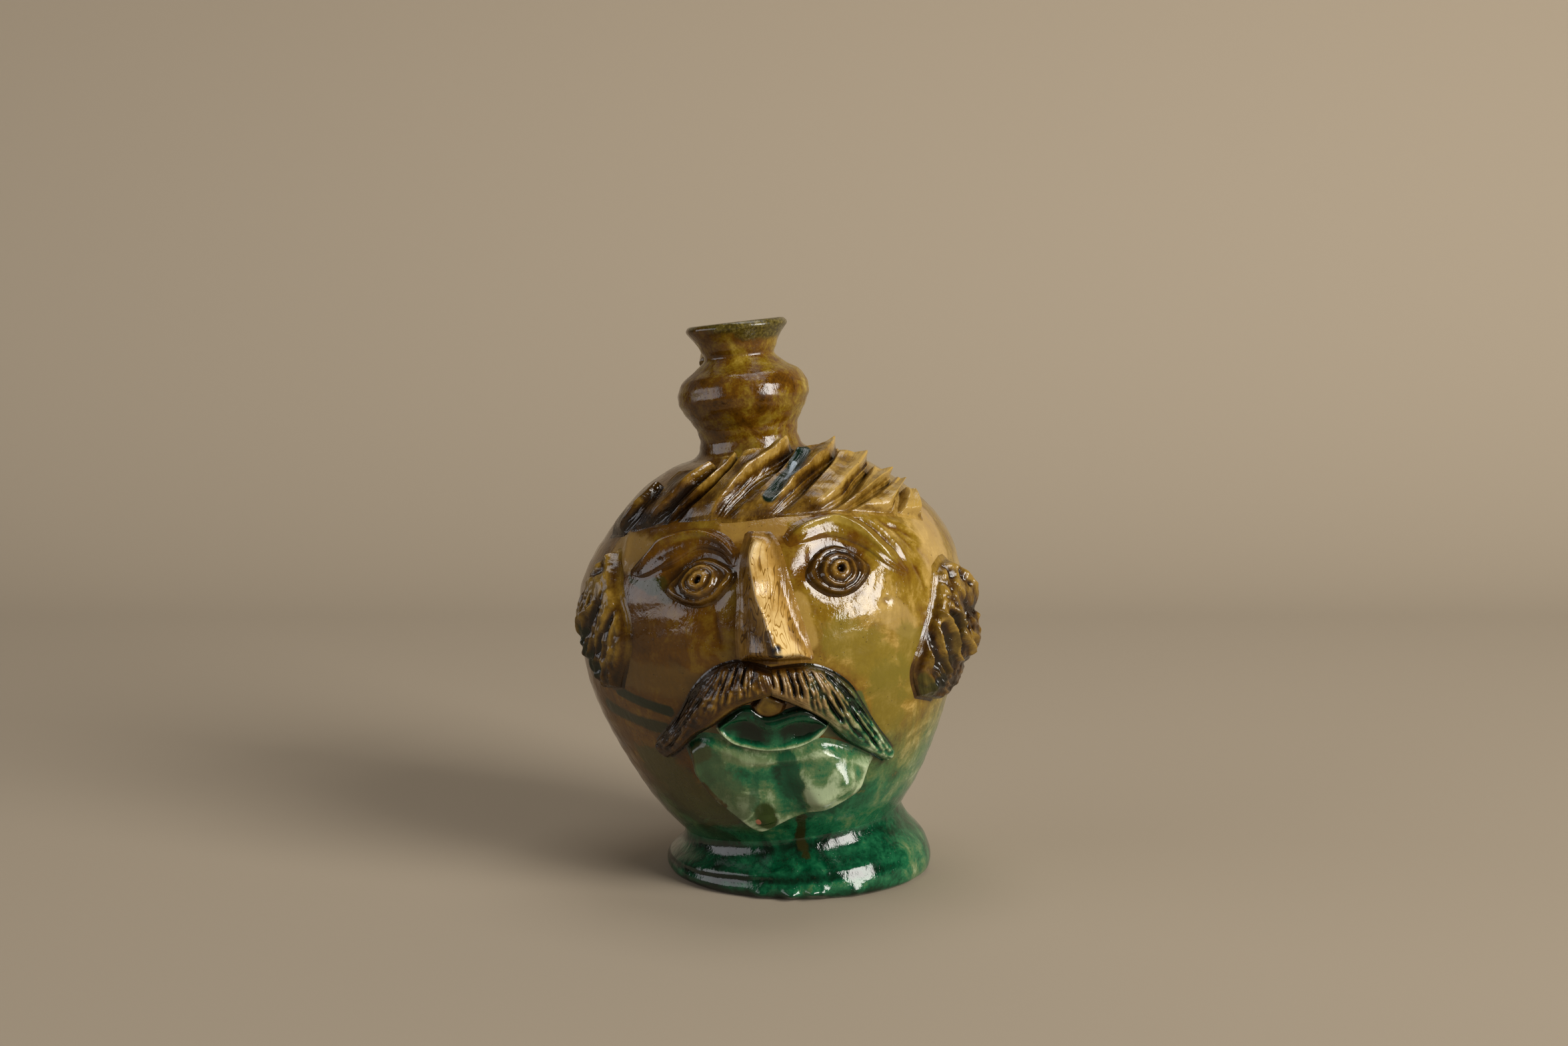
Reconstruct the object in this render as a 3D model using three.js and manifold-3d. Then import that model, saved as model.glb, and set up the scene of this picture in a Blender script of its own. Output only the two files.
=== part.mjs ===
import * as THREE from "three";
import { mergeVertices } from "three/addons/utils/BufferGeometryUtils.js";
import Module from "manifold-3d";

const wasm = await Module();
wasm.setup();

// Face jug in lead-glazed earthenware: a thrown foot, belly and neck joined with slip, a pulled strap
// handle at the back, and a face of hand-shaped clay pressed on the front.
// Sizes are millimetres. Heights run up the jug's own axis, which leans to the viewer's left.
// Azimuths run round that axis in degrees, zero at the front and positive to the viewer's right.

// Whole jug
const leanAngle = 6.6;
const seam = 0.3; // gap between two pieces of clay that touch
const overrun = 5; // how far a shape runs past the surface that trims it
const wall = 5; // thrown clay of the belly and foot
const neckWall = 4;

// Foot, from the table to the waist
const footHeight = 17;
const footRadius = 48;
const waistRadius = 38.4;
const footFloor = 8.5; // clay under the inside of the jug

// Belly, from the waist to the foot of the neck
const bellyHeight = 135.2;
const bellyRadius = 69.8;
const shoulderRadius = 20; // where the neck stands

// Neck, from the shoulder to the top of the lip
const neckHeight = 47;
const waistOfNeckRadius = 17.9;
const bulbRadius = 23.7;
const grooveRadius = 12.8;
const lipRadius = 18.1;

// Strap handle
const strapWidth = 24;
const strapThickness = 8.5;
const strapReach = 76; // from the axis to the middle of the strap at its furthest
const strapOffset = -2.5; // sideways from the axis

// Clay of the face
const tuftThickness = 6.5;
const browThickness = 4;
const noseDepth = 13; // out from the cheeks at the tip
const noseRootDepth = 3;
const moustacheThickness = 6;
const combDepth = 1.1; // grooves combed into the moustache and the ears
const lipThickness = 3.6;
const mouthHollow = 2.2; // how far the mouth sinks inside its rim
const chinThickness = 4.5;
const earThickness = 6.5;
const thinEdge = 1.4; // clay left where a pressed piece feathers out
const leftEyeWidth = 18.6;
const leftEyeHeight = 18.4;
const rightEyeWidth = 22.4;
const rightEyeHeight = 18.6;
const eyeRise = 4.4;
const pupilRadius = 2.1;
const philtrumWidth = 10.8;
const philtrumHeight = 8.2;
const philtrumThickness = 4.2;

// Steps of the facets
const thrownSides = 44;
const neckSides = 28;
const fineSteps = 300;

const radians = THREE.MathUtils.degToRad;

// The jug's outlines

/** Radii of the foot: height as a share of footHeight, and how far it flares from the waist. */
const footShares = [
  [0, 0.7], [0.06, 0.9], [0.18, 1], [0.32, 1], [0.48, 0.9], [0.66, 0.64], [0.82, 0.32], [1, 0],
];

/** Radii of the belly below its widest ring: height share, and share of the swell from the waist. */
const lowerBellyShares = [
  [0, 0], [0.022, 0.057], [0.059, 0.185], [0.096, 0.299], [0.14, 0.411], [0.2, 0.541],
  [0.273, 0.682], [0.362, 0.828], [0.465, 0.955], [0.576, 1],
];

/** Radii of the belly above its widest ring: height share, and share of the swell from the neck. */
const upperBellyShares = [
  [0.686, 0.968], [0.745, 0.908], [0.797, 0.819], [0.849, 0.699], [0.9, 0.56],
  [0.945, 0.406], [0.982, 0.205], [1, 0],
];

/** How far the hand-thrown belly wanders to the viewer's right: height share, share of bellyRadius. */
const driftShares = [
  [0, 0], [0.36, 0], [0.5, 0.012], [0.686, 0.018], [0.745, 0.024], [0.82, 0.03], [0.87, 0.028],
  [0.94, 0.014], [1, 0],
];

const neckBase = footHeight + seam + bellyHeight + seam;
const bellyBase = footHeight + seam;

function footOutline() {
  return footShares.map(([rise, flare]) => (
    new THREE.Vector2(waistRadius + flare * (footRadius - waistRadius), rise * footHeight)
  ));
}

function bellyOutline() {
  const rings = (shares, narrow) => shares.map(([rise, swell]) => (
    new THREE.Vector2(narrow + swell * (bellyRadius - narrow), bellyBase + rise * bellyHeight)
  ));
  return [...rings(lowerBellyShares, waistRadius), ...rings(upperBellyShares, shoulderRadius)];
}

/** The neck's bulb, its groove and the flared lip, each ring at a share of the neck's height. */
function neckOutline() {
  const rings = [
    [0, shoulderRadius - neckWall / 4],
    [0.05, waistOfNeckRadius + neckWall / 8],
    [0.12, waistOfNeckRadius],
    [0.22, waistOfNeckRadius + 0.14 * (bulbRadius - waistOfNeckRadius)],
    [0.33, waistOfNeckRadius + 0.65 * (bulbRadius - waistOfNeckRadius)],
    [0.43, bulbRadius],
    [0.52, grooveRadius + 0.94 * (bulbRadius - grooveRadius)],
    [0.6, grooveRadius + 0.72 * (bulbRadius - grooveRadius)],
    [0.67, grooveRadius + 0.28 * (bulbRadius - grooveRadius)],
    [0.74, grooveRadius],
    [0.81, grooveRadius + 0.22 * (lipRadius - grooveRadius)],
    [0.88, grooveRadius + 0.5 * (lipRadius - grooveRadius)],
    [0.95, lipRadius],
    [0.99, lipRadius - neckWall / 5],
    [1, lipRadius - neckWall / 2],
  ];
  return rings.map(([rise, radius]) => new THREE.Vector2(radius, neckBase + rise * neckHeight));
}

/** Points that follow a smooth curve through an outline. */
function smooth(outline, steps) {
  return new THREE.SplineCurve(outline).getPoints(steps);
}

/** The outline moved square to itself, inward when the distance is negative. */
function offset(outline, distance) {
  return outline.map((point, i) => {
    const before = outline[Math.max(i - 1, 0)];
    const after = outline[Math.min(i + 1, outline.length - 1)];
    const run = after.clone().sub(before).normalize();
    return new THREE.Vector2(point.x + distance * run.y, point.y - distance * run.x);
  });
}

/** The belly's outside as a surface on which the clay of the face is placed. */
const head = {
  outline: smooth(bellyOutline(), fineSteps),
  ring(height) {
    const above = Math.max(1, this.outline.findIndex((point) => point.y >= height));
    const high = this.outline[above];
    const low = this.outline[above - 1];
    const part = (height - low.y) / (high.y - low.y);
    const run = high.clone().sub(low).normalize();
    return { radius: THREE.MathUtils.lerp(low.x, high.x, part), out: run.y, up: -run.x };
  },
  drift(height) {
    const share = (height - bellyBase) / bellyHeight;
    const above = driftShares.findIndex(([rise]) => rise > share);
    if (above < 1) {
      return 0;
    }
    const [lowRise, low] = driftShares[above - 1];
    const [highRise, high] = driftShares[above];
    return bellyRadius * THREE.MathUtils.mapLinear(share, lowRise, highRise, low, high);
  },
  point(azimuth, rise, lift) {
    const height = bellyBase + rise * bellyHeight;
    const { radius, out, up } = this.ring(height);
    const reach = radius + lift * out;
    const turn = radians(azimuth);
    return new THREE.Vector3(
      this.drift(height) + reach * Math.sin(turn),
      -reach * Math.cos(turn),
      height + lift * up,
    );
  },
};

// Solids and meshes

/** A closed solid from a geometry, with its faces turned outward. */
function toSolid(geometry) {
  const bare = geometry.clone();
  bare.deleteAttribute("normal");
  bare.deleteAttribute("uv");
  const merged = mergeVertices(bare);
  const corners = merged.attributes.position;
  const index = merged.index.array;
  const [a, b, c] = [new THREE.Vector3(), new THREE.Vector3(), new THREE.Vector3()];
  const kept = [];
  let volume = 0;
  for (let i = 0; i < index.length; i += 3) {
    const face = [index[i], index[i + 1], index[i + 2]];
    if (new Set(face).size === 3) {
      kept.push(face);
      a.fromBufferAttribute(corners, face[0]);
      b.fromBufferAttribute(corners, face[1]);
      c.fromBufferAttribute(corners, face[2]);
      volume += a.dot(b.cross(c));
    }
  }
  const triVerts = Uint32Array.from(kept.flatMap((face) => (volume < 0 ? face.toReversed() : face)));
  const vertProperties = Float32Array.from(corners.array);
  return new wasm.Manifold(new wasm.Mesh({ numProp: 3, vertProperties, triVerts }));
}

/** The largest of a solid's separate bodies, without the crumbs that a cut leaves. */
function wholePiece(solid) {
  return solid.decompose().reduce((best, piece) => (piece.volume() > best.volume() ? piece : best));
}

function toGeometry(solid) {
  const { vertProperties, triVerts } = solid.getMesh();
  const geometry = new THREE.BufferGeometry();
  geometry.setAttribute("position", new THREE.BufferAttribute(vertProperties, 3));
  geometry.setIndex(new THREE.BufferAttribute(triVerts, 1));
  geometry.computeVertexNormals();
  return geometry;
}

/** A closed outline spun round the jug's axis, with the belly's wandering centre. */
function thrown(outline, sides) {
  const geometry = new THREE.LatheGeometry([...outline, outline[0]], sides);
  geometry.rotateX(Math.PI / 2);
  const position = geometry.attributes.position;
  for (let i = 0; i < position.count; i += 1) {
    position.setX(i, position.getX(i) + head.drift(position.getZ(i)));
  }
  return toSolid(geometry);
}

/** The space that a thrown piece fills, with its hollow closed and its outside grown. */
function filled(outline, sides, margin) {
  const skin = offset(outline, margin);
  const first = skin[0];
  const last = skin[skin.length - 1];
  return thrown([new THREE.Vector2(0, first.y), ...skin, new THREE.Vector2(0, last.y)], sides);
}

// Thrown pieces

const footSkin = smooth(footOutline(), 14);
const bellySkin = smooth(bellyOutline(), 22);
const neckSkin = smooth(neckOutline(), 20);

/** The foot, hollowed above its floor. It stands level on the table and leans fully only at the waist. */
function makeFoot() {
  const bowl = [
    new THREE.Vector2(waistRadius - wall, footHeight),
    new THREE.Vector2(waistRadius - wall * 1.3, footFloor + wall / 2),
    new THREE.Vector2(waistRadius - wall * 2.2, footFloor),
    new THREE.Vector2(0, footFloor),
  ];
  const geometry = toGeometry(thrown([new THREE.Vector2(0, 0), ...footSkin, ...bowl], thrownSides));
  const position = geometry.attributes.position;
  const upright = new THREE.Vector3(0, 1, 0);
  for (let i = 0; i < position.count; i += 1) {
    const point = new THREE.Vector3().fromBufferAttribute(position, i);
    point.applyAxisAngle(upright, -radians(leanAngle) * (point.z / footHeight));
    position.setXYZ(i, point.x, point.y, point.z);
  }
  return toSolid(geometry);
}

/** The belly: a shell open to the foot below and to the neck above. */
function makeBelly() {
  const floor = bellyBase;
  const top = bellyBase + bellyHeight;
  const bore = shoulderRadius - wall - wall / 3;
  const inside = offset(smooth(bellyOutline(), 12), -wall)
    .filter((point) => point.x > bore + wall / 2)
    .filter((point) => point.y > floor + wall / 2 && point.y < top - wall / 2)
    .reverse();
  const rim = [new THREE.Vector2(bore, top), new THREE.Vector2(bore, top - wall * 0.9)];
  const base = new THREE.Vector2(waistRadius - wall, floor);
  return thrown([...bellySkin, ...rim, ...inside, base], thrownSides);
}

/** The neck: an open tube with a bulb, a groove and a flared lip. */
function makeNeck() {
  const mouth = new THREE.Vector2(lipRadius - neckWall * 1.1, neckBase + neckHeight);
  const inside = offset(smooth(neckOutline(), 12), -neckWall)
    .filter((point) => point.y > neckBase + seam && point.y < neckBase + neckHeight - neckWall / 2)
    .reverse();
  const base = new THREE.Vector2(shoulderRadius - wall - wall / 3, neckBase);
  return thrown([...neckSkin, mouth, ...inside, base], neckSides);
}

const bellySpace = filled(bellySkin, thrownSides, seam);
const neckSpace = filled(neckSkin, neckSides, seam);

/** A pulled strap of clay from under the lip to the back of the head. */
function makeHandle() {
  const grooveHeight = neckBase + 0.74 * neckHeight;
  const heelHeight = bellyBase + 0.72 * bellyHeight;
  const drop = grooveHeight - heelHeight;
  const routeShares = [
    [0.11, -0.02], [0.36, 0.03], [0.68, -0.06], [0.93, -0.28], [1, -0.52], [0.95, -0.76], [0.82, -1],
  ];
  const route = new THREE.CatmullRomCurve3(routeShares.map(([reach, rise]) => (
    new THREE.Vector3(strapOffset, reach * strapReach, grooveHeight + rise * drop)
  )));
  const oval = new THREE.EllipseCurve(0, 0, strapWidth / 2, strapThickness / 2);
  const section = new THREE.Shape(oval.getPoints(12).slice(1));
  const strap = new THREE.ExtrudeGeometry(section, { extrudePath: route, steps: 18, bevelEnabled: false });
  return fitted(toSolid(strap), [bellySpace, neckSpace]);
}

// Clay pressed on the head

/** A rounded swell across a share from 0 to 1, flat at the edges when the power is low. */
function swell(share, power = 0.6) {
  return Math.sin(Math.PI * THREE.MathUtils.clamp(share, 0, 1)) ** power;
}

/** Combed grooves that run across a piece, count of them along it and slanted by the slant. */
function combed(along, across, count, slant) {
  return combDepth * Math.cos(2 * Math.PI * (count * along + slant * across));
}

/**
 * A piece of clay pressed on the head between two edges, each a row of [azimuth, height share].
 * The rise gives its thickness at shares along and across, and a margin grows it on every side.
 */
function pressed({ nearShares, farShares, steps, rise }, margin = 0) {
  const nearEdge = new THREE.SplineCurve(nearShares.map((place) => new THREE.Vector2(...place)));
  const farEdge = new THREE.SplineCurve(farShares.map((place) => new THREE.Vector2(...place)));
  const spot = (along, across, lift) => {
    const t = THREE.MathUtils.clamp(along, 0, 1);
    const place = nearEdge.getPoint(t).lerp(farEdge.getPoint(t), across);
    return head.point(place.x, place.y, lift);
  };
  const geometry = new THREE.BoxGeometry(1, 1, 1, ...steps, 1);
  const position = geometry.attributes.position;
  const probe = 0.01;
  for (let i = 0; i < position.count; i += 1) {
    const along = position.getX(i) + 1 / 2;
    const across = position.getY(i) + 1 / 2;
    const outside = position.getZ(i) > 0;
    const lift = outside ? seam + rise(along, across) + margin : seam - 2 * margin;
    const point = spot(along, across, lift);
    const push = new THREE.Vector3();
    if (along === 0 || along === 1) {
      const inner = spot(along + (along ? -probe : probe), across, lift);
      push.add(spot(along, across, lift).sub(inner).normalize());
    }
    if (across === 0 || across === 1) {
      const inner = spot(along, across + (across ? -probe : probe), lift);
      push.add(spot(along, across, lift).sub(inner).normalize());
    }
    point.addScaledVector(push, margin);
    position.setXYZ(i, point.x, point.y, point.z);
  }
  return toSolid(geometry);
}

/** Edges and tips of the hair, from the viewer's left: [azimuth, height share] from root to tip. */
const tuftShares = [
  {
    leftShares: [[-72, 0.832], [-70, 0.871], [-64, 0.915], [-56, 0.948]],
    rightShares: [[-59, 0.841], [-53, 0.878], [-50, 0.915], [-50, 0.945]],
    tipShare: 0.6,
  },
  {
    leftShares: [[-58, 0.841], [-51, 0.896], [-46, 0.935], [-41, 0.961]],
    rightShares: [[-43, 0.858], [-33, 0.903], [-26, 0.942], [-22, 0.966]],
    tipShare: 0.8,
  },
  {
    leftShares: [[-42, 0.858], [-31, 0.905], [-24, 0.944], [-20, 0.98]],
    rightShares: [[-36, 0.859], [-26, 0.908], [-17, 0.944], [-13, 0.978]],
    tipShare: 0.8,
  },
  {
    leftShares: [[-35, 0.861], [-25, 0.908], [-17, 0.944], [-8, 0.976]],
    rightShares: [[-15, 0.863], [-7, 0.91], [3, 0.947], [20, 0.982]],
    tipShare: 1.5,
  },
  {
    leftShares: [[-14, 0.862], [-5, 0.897], [6, 0.937], [22, 0.972]],
    rightShares: [[5, 0.863], [15, 0.896], [28, 0.93], [58, 0.976]],
    tipShare: 1.4,
  },
  {
    leftShares: [[6, 0.863], [16, 0.893], [28, 0.928], [48, 0.957]],
    rightShares: [[23, 0.855], [34, 0.875], [45, 0.902], [62, 0.933]],
    tipShare: 1.2,
  },
  {
    leftShares: [[24, 0.854], [35, 0.874], [46, 0.9], [58, 0.919]],
    rightShares: [[31, 0.849], [40, 0.863], [50, 0.878], [62, 0.891]],
    tipShare: 0.9,
  },
  {
    leftShares: [[32, 0.848], [40, 0.86], [50, 0.875], [58, 0.885]],
    rightShares: [[51, 0.82], [52, 0.83], [54, 0.845], [57, 0.861]],
    tipShare: 0.6,
  },
  {
    leftShares: [[53, 0.817], [54, 0.832], [56, 0.848], [59, 0.864]],
    rightShares: [[65, 0.796], [62, 0.808], [61, 0.826], [61, 0.85]],
    tipShare: 0.6,
  },
];

/** A tuft is thin at the root, highest along the ridge by its right edge, and lifts toward its tip. */
function tuftRise(along, across, tipShare) {
  const ridge = 0.8;
  const past = Math.max(0, (across - ridge) / (1 - ridge));
  const slope = Math.sin((Math.PI / 2) * Math.min(1, across / ridge)) - 0.7 * past;
  const lengthwise = THREE.MathUtils.lerp(Math.sin(Math.PI * (0.1 + 0.6 * along)), tipShare, along ** 2);
  return thinEdge + (tuftThickness - thinEdge) * slope * lengthwise;
}

function browRise(along, across) {
  return thinEdge + (browThickness - thinEdge) * swell(along, 0.5) * swell(across, 0.7);
}

/** The wedge of the nose, deepest at its tip, with a crest that wanders to its left half higher up. */
const nose = {
  nearShares: [[-8.7, 0.532], [-8.4, 0.6], [-7.2, 0.68], [-7, 0.76], [-4.6, 0.828]],
  farShares: [[11.2, 0.518], [10.4, 0.585], [9.4, 0.665], [7.2, 0.785], [4.3, 0.822]],
  steps: [8, 6],
  rise(along, across) {
    const depth = THREE.MathUtils.lerp(noseDepth, noseRootDepth, along ** 0.9);
    const crest = THREE.MathUtils.lerp(0.52, 0.4, Math.min(1, 2 * along));
    const side = across < crest ? across / crest : (1 - across) / (1 - crest);
    return thinEdge + (depth - thinEdge) * side ** 0.85;
  },
};

function moustacheRise(along, across) {
  const lengthwise = (1 - 0.45 * along) * swell(0.06 + 0.9 * along, 0.25);
  const body = (moustacheThickness - combDepth) * swell(across, 0.5) * lengthwise;
  return thinEdge + body + combed(along, across, 7, 0.7) * swell(across, 0.5) * swell(0.1 + 0.8 * along);
}

const moustacheLeft = {
  nearShares: [
    [-2, 0.443], [-6.1, 0.432], [-11.6, 0.415], [-18.3, 0.379],
    [-24.3, 0.355], [-31.2, 0.317], [-38.8, 0.284],
  ],
  farShares: [
    [-1.3, 0.504], [-7.7, 0.53], [-13.9, 0.525], [-18.9, 0.504],
    [-23.6, 0.466], [-30.5, 0.395], [-42, 0.325],
  ],
  steps: [22, 4],
  rise: moustacheRise,
};

const moustacheRight = {
  nearShares: [
    [-1, 0.441], [3.2, 0.42], [9.4, 0.386], [14.1, 0.352],
    [19.9, 0.3], [27.7, 0.256], [37.6, 0.208],
  ],
  farShares: [
    [-0.5, 0.505], [8.6, 0.504], [14.6, 0.484], [21.1, 0.438],
    [26.4, 0.372], [32.3, 0.304], [40.3, 0.236],
  ],
  steps: [22, 4],
  rise: moustacheRise,
};

const browLeft = {
  nearShares: [
    [-44, 0.752], [-38.2, 0.749], [-30.9, 0.774],
    [-21.8, 0.808], [-13.7, 0.797], [-9.4, 0.765],
  ],
  farShares: [
    [-44.6, 0.76], [-40.3, 0.802], [-35, 0.835],
    [-22.2, 0.848], [-13.3, 0.828], [-8.4, 0.787],
  ],
  steps: [14, 4],
  rise: browRise,
};

const browRight = {
  nearShares: [
    [8.4, 0.795], [12.1, 0.795], [22.2, 0.802],
    [31, 0.769], [36.9, 0.713], [43.2, 0.681],
  ],
  farShares: [
    [7.6, 0.81], [12.5, 0.836], [24.9, 0.846],
    [33.1, 0.816], [38.8, 0.752], [43.8, 0.689],
  ],
  steps: [14, 4],
  rise: browRise,
};

/** The mouth: a shallow dish whose rim stands highest below. */
const mouth = {
  nearShares: [
    [-17.8, 0.362], [-16.6, 0.341], [-13.1, 0.318], [-4.3, 0.296],
    [4.9, 0.296], [11.2, 0.312], [14.7, 0.338],
  ],
  farShares: [
    [-17.8, 0.37], [-13.7, 0.395], [-8, 0.412], [-2.5, 0.384],
    [6.8, 0.395], [11.5, 0.375], [15, 0.346],
  ],
  steps: [14, 5],
  rise(along, across) {
    const hollow = mouthHollow * swell(along, 0.5) * swell(0.12 + 0.88 * across, 0.8);
    return lipThickness - hollow * swell(across, 0.9) - 0.3 * lipThickness * across;
  },
};

const chin = {
  nearShares: [
    [-30.2, 0.31], [-29.3, 0.243], [-22.7, 0.16], [-12.6, 0.084],
    [1.4, 0.11], [15.5, 0.14], [26.8, 0.165], [31.4, 0.22],
  ],
  farShares: [
    [-29.4, 0.325], [-24, 0.345], [-16, 0.332], [-8, 0.296],
    [4, 0.292], [13, 0.3], [22, 0.27], [30.6, 0.232],
  ],
  steps: [14, 5],
  rise(along, across) {
    return thinEdge + (chinThickness - thinEdge) * swell(0.06 + 0.88 * along, 0.35) * (1 - 0.5 * across);
  },
};

/** An ear swells toward its back edge and carries finger grooves that fan down from its middle. */
function earRise(along, across) {
  const cup = THREE.MathUtils.lerp(0.4, 1, across ** 0.7);
  const grooves = combed(across, along, 3, 0.6) * swell(along - 0.25, 0.7) * swell(across, 0.6);
  return thinEdge + (earThickness - thinEdge) * cup * swell(0.04 + 0.92 * along, 0.4) + grooves;
}

const earLeft = {
  nearShares: [
    [-54.9, 0.801], [-49.5, 0.762], [-43.4, 0.699], [-40.2, 0.644],
    [-40.5, 0.585], [-44.5, 0.527], [-50, 0.47],
  ],
  farShares: [
    [-57, 0.808], [-60, 0.768], [-62, 0.709], [-63, 0.643],
    [-62, 0.577], [-59, 0.51], [-55, 0.466],
  ],
  steps: [12, 6],
  rise: earRise,
};

const earRight = {
  nearShares: [
    [61, 0.69], [56, 0.666], [51.8, 0.62], [50.3, 0.561],
    [47.1, 0.503], [44, 0.43], [48, 0.36],
  ],
  farShares: [
    [65, 0.69], [71, 0.652], [75, 0.598], [76, 0.525],
    [74, 0.451], [69, 0.377], [58, 0.334],
  ],
  steps: [12, 6],
  rise: earRise,
};

/** Turns and moves a shape made round +Z so that it sits on the head, facing out. */
function seated(geometry, azimuth, rise) {
  const foot = head.point(azimuth, rise, 0);
  const out = head.point(azimuth, rise, seam).sub(foot).normalize();
  const side = new THREE.Vector3(Math.cos(radians(azimuth)), Math.sin(radians(azimuth)), 0);
  const up = out.clone().cross(side);
  geometry.applyMatrix4(new THREE.Matrix4().makeBasis(side, up, out).setPosition(foot));
  return toSolid(geometry);
}

/** A pellet eye: a pupil hole inside rings pressed with hollow stamps. */
function pellet(width, height, azimuth, rise, margin = 0) {
  const ringShares = [
    [1, 0.2], [0.95, 0.62], [0.88, 0.5], [0.8, 0.42], [0.66, 0.86], [0.52, 0.62], [0.38, 1],
  ];
  const hole = (2 * pupilRadius) / width;
  const rings = ringShares.map(([radius, share]) => new THREE.Vector2(radius, share * eyeRise));
  const outline = [
    new THREE.Vector2(0, -overrun),
    new THREE.Vector2(1, -overrun),
    ...rings,
    new THREE.Vector2(hole, 0.9 * eyeRise),
    new THREE.Vector2(hole * 0.7, 0.3 * eyeRise),
    new THREE.Vector2(0, 0.3 * eyeRise),
  ];
  const geometry = new THREE.LatheGeometry(outline, 28);
  geometry.rotateX(Math.PI / 2);
  geometry.scale(width / 2 + margin, height / 2 + margin, 1 + margin / eyeRise);
  return seated(geometry, azimuth, rise);
}

/** The oval of clay between the moustache and the mouth. */
function philtrum(margin = 0) {
  const geometry = new THREE.SphereGeometry(1, 16, 10);
  geometry.scale(philtrumWidth / 2 + margin, philtrumHeight / 2 + margin, philtrumThickness + margin);
  return seated(geometry, -2.2, 0.414);
}

// Assembly

const jug = new THREE.Group();
const leaning = new THREE.Group();
leaning.rotation.y = -radians(leanAngle);
jug.add(leaning);

function glazed(color, roughness = 0.22) {
  return new THREE.MeshStandardMaterial({ color, roughness, metalness: 0 });
}

function addPiece(name, solid, color, parent = leaning) {
  const mesh = new THREE.Mesh(toGeometry(solid), glazed(color));
  mesh.name = name;
  parent.add(mesh);
}

/** A piece without what the given spaces already fill. */
function fitted(solid, spaces) {
  return wholePiece(spaces.reduce((left, space) => left.subtract(space), solid));
}

const amber = 0x8a6420;
const brown = 0x4c3212;
const ochre = 0xa27a35;
const green = 0x1f5a3c;
const mint = 0x7d9a78;

addPiece("foot", makeFoot(), green, jug);
addPiece("belly", makeBelly(), amber);
addPiece("neck", makeNeck(), amber);
addPiece("strap_handle", makeHandle(), brown);

const tuftSpaces = [];
tuftShares.forEach(({ leftShares, rightShares, tipShare }, i) => {
  const rise = (along, across) => tuftRise(along, 1 - across, tipShare);
  const shape = { nearShares: rightShares, farShares: leftShares, steps: [7, 5], rise };
  addPiece(`hair_tuft_${i + 1}`, fitted(pressed(shape), [neckSpace, ...tuftSpaces]), i % 2 ? ochre : amber);
  tuftSpaces.push(pressed(shape, seam));
});

const noseSpace = pressed(nose, seam);
const browSpaces = [pressed(browLeft, seam), pressed(browRight, seam)];
const philtrumSpace = philtrum(seam);
const mouthSpace = pressed(mouth, seam);
const moustacheLeftSpace = pressed(moustacheLeft, seam);
const moustacheRightSpace = pressed(moustacheRight, seam);

addPiece("nose", pressed(nose), ochre);
addPiece("brow_left", fitted(pressed(browLeft), [noseSpace, ...tuftSpaces]), amber);
addPiece("brow_right", fitted(pressed(browRight), [noseSpace, ...tuftSpaces]), ochre);
const eyeSpaces = [bellySpace, noseSpace, ...browSpaces];
addPiece("eye_left", fitted(pellet(leftEyeWidth, leftEyeHeight, -19.7, 0.737), eyeSpaces), brown);
addPiece("eye_right", fitted(pellet(rightEyeWidth, rightEyeHeight, 22.2, 0.723), eyeSpaces), brown);
addPiece("philtrum", fitted(philtrum(), [bellySpace]), amber);
addPiece("moustache_left", fitted(pressed(moustacheLeft), [noseSpace, philtrumSpace]), brown);
addPiece(
  "moustache_right",
  fitted(pressed(moustacheRight), [noseSpace, philtrumSpace, moustacheLeftSpace]),
  brown,
);
const moustacheSpaces = [moustacheLeftSpace, moustacheRightSpace];
addPiece("mouth", fitted(pressed(mouth), [philtrumSpace, ...moustacheSpaces]), green);
addPiece("chin", fitted(pressed(chin), [mouthSpace, philtrumSpace, ...moustacheSpaces]), mint);
addPiece("ear_left", pressed(earLeft), amber);
addPiece("ear_right", pressed(earRight), amber);

export default jug;
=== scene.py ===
"""A folk face jug in glazed earthenware.

It has a thrown foot, belly and neck, a strap handle and a face of pressed clay. Sizes are millimetres unless
a name says otherwise, and meshes are made in metres. A place on the head is an azimuth in degrees round the
jug's leaning axis, zero at the front and positive to the viewer's right, and a share of the belly's height.
Lift is how far something stands out from the thrown surface there.
"""

import itertools
import logging
import math
from collections.abc import Callable, Sequence
from dataclasses import dataclass, field, replace
from enum import Enum
from functools import cached_property, partial
from typing import NamedTuple

import bpy
import numpy as np
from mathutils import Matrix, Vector


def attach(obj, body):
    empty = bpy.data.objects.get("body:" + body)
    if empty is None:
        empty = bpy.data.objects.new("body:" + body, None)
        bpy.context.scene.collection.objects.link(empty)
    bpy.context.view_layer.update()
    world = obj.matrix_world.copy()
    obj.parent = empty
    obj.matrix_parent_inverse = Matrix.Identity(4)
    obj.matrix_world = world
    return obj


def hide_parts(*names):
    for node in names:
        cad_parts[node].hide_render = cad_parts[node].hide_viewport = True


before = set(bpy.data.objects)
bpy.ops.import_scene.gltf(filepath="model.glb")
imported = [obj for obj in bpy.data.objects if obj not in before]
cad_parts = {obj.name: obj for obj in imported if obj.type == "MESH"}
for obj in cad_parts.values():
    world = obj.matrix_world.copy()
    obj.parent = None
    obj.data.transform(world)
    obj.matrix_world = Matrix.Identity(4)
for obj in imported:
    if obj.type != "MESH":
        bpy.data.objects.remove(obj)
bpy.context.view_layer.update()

LOG = logging.getLogger("face_jug")
MM = 0.001
BODY = "root"
POOL = "pool"  # mesh attribute: how deep glaze lies, above 0 in hollows and below 0 on crests; on the nose and chin it also carries painted shade and highlight
GRAIN = "grain"  # mesh attribute: millimetres along the piece, across it and above its bed

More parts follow.
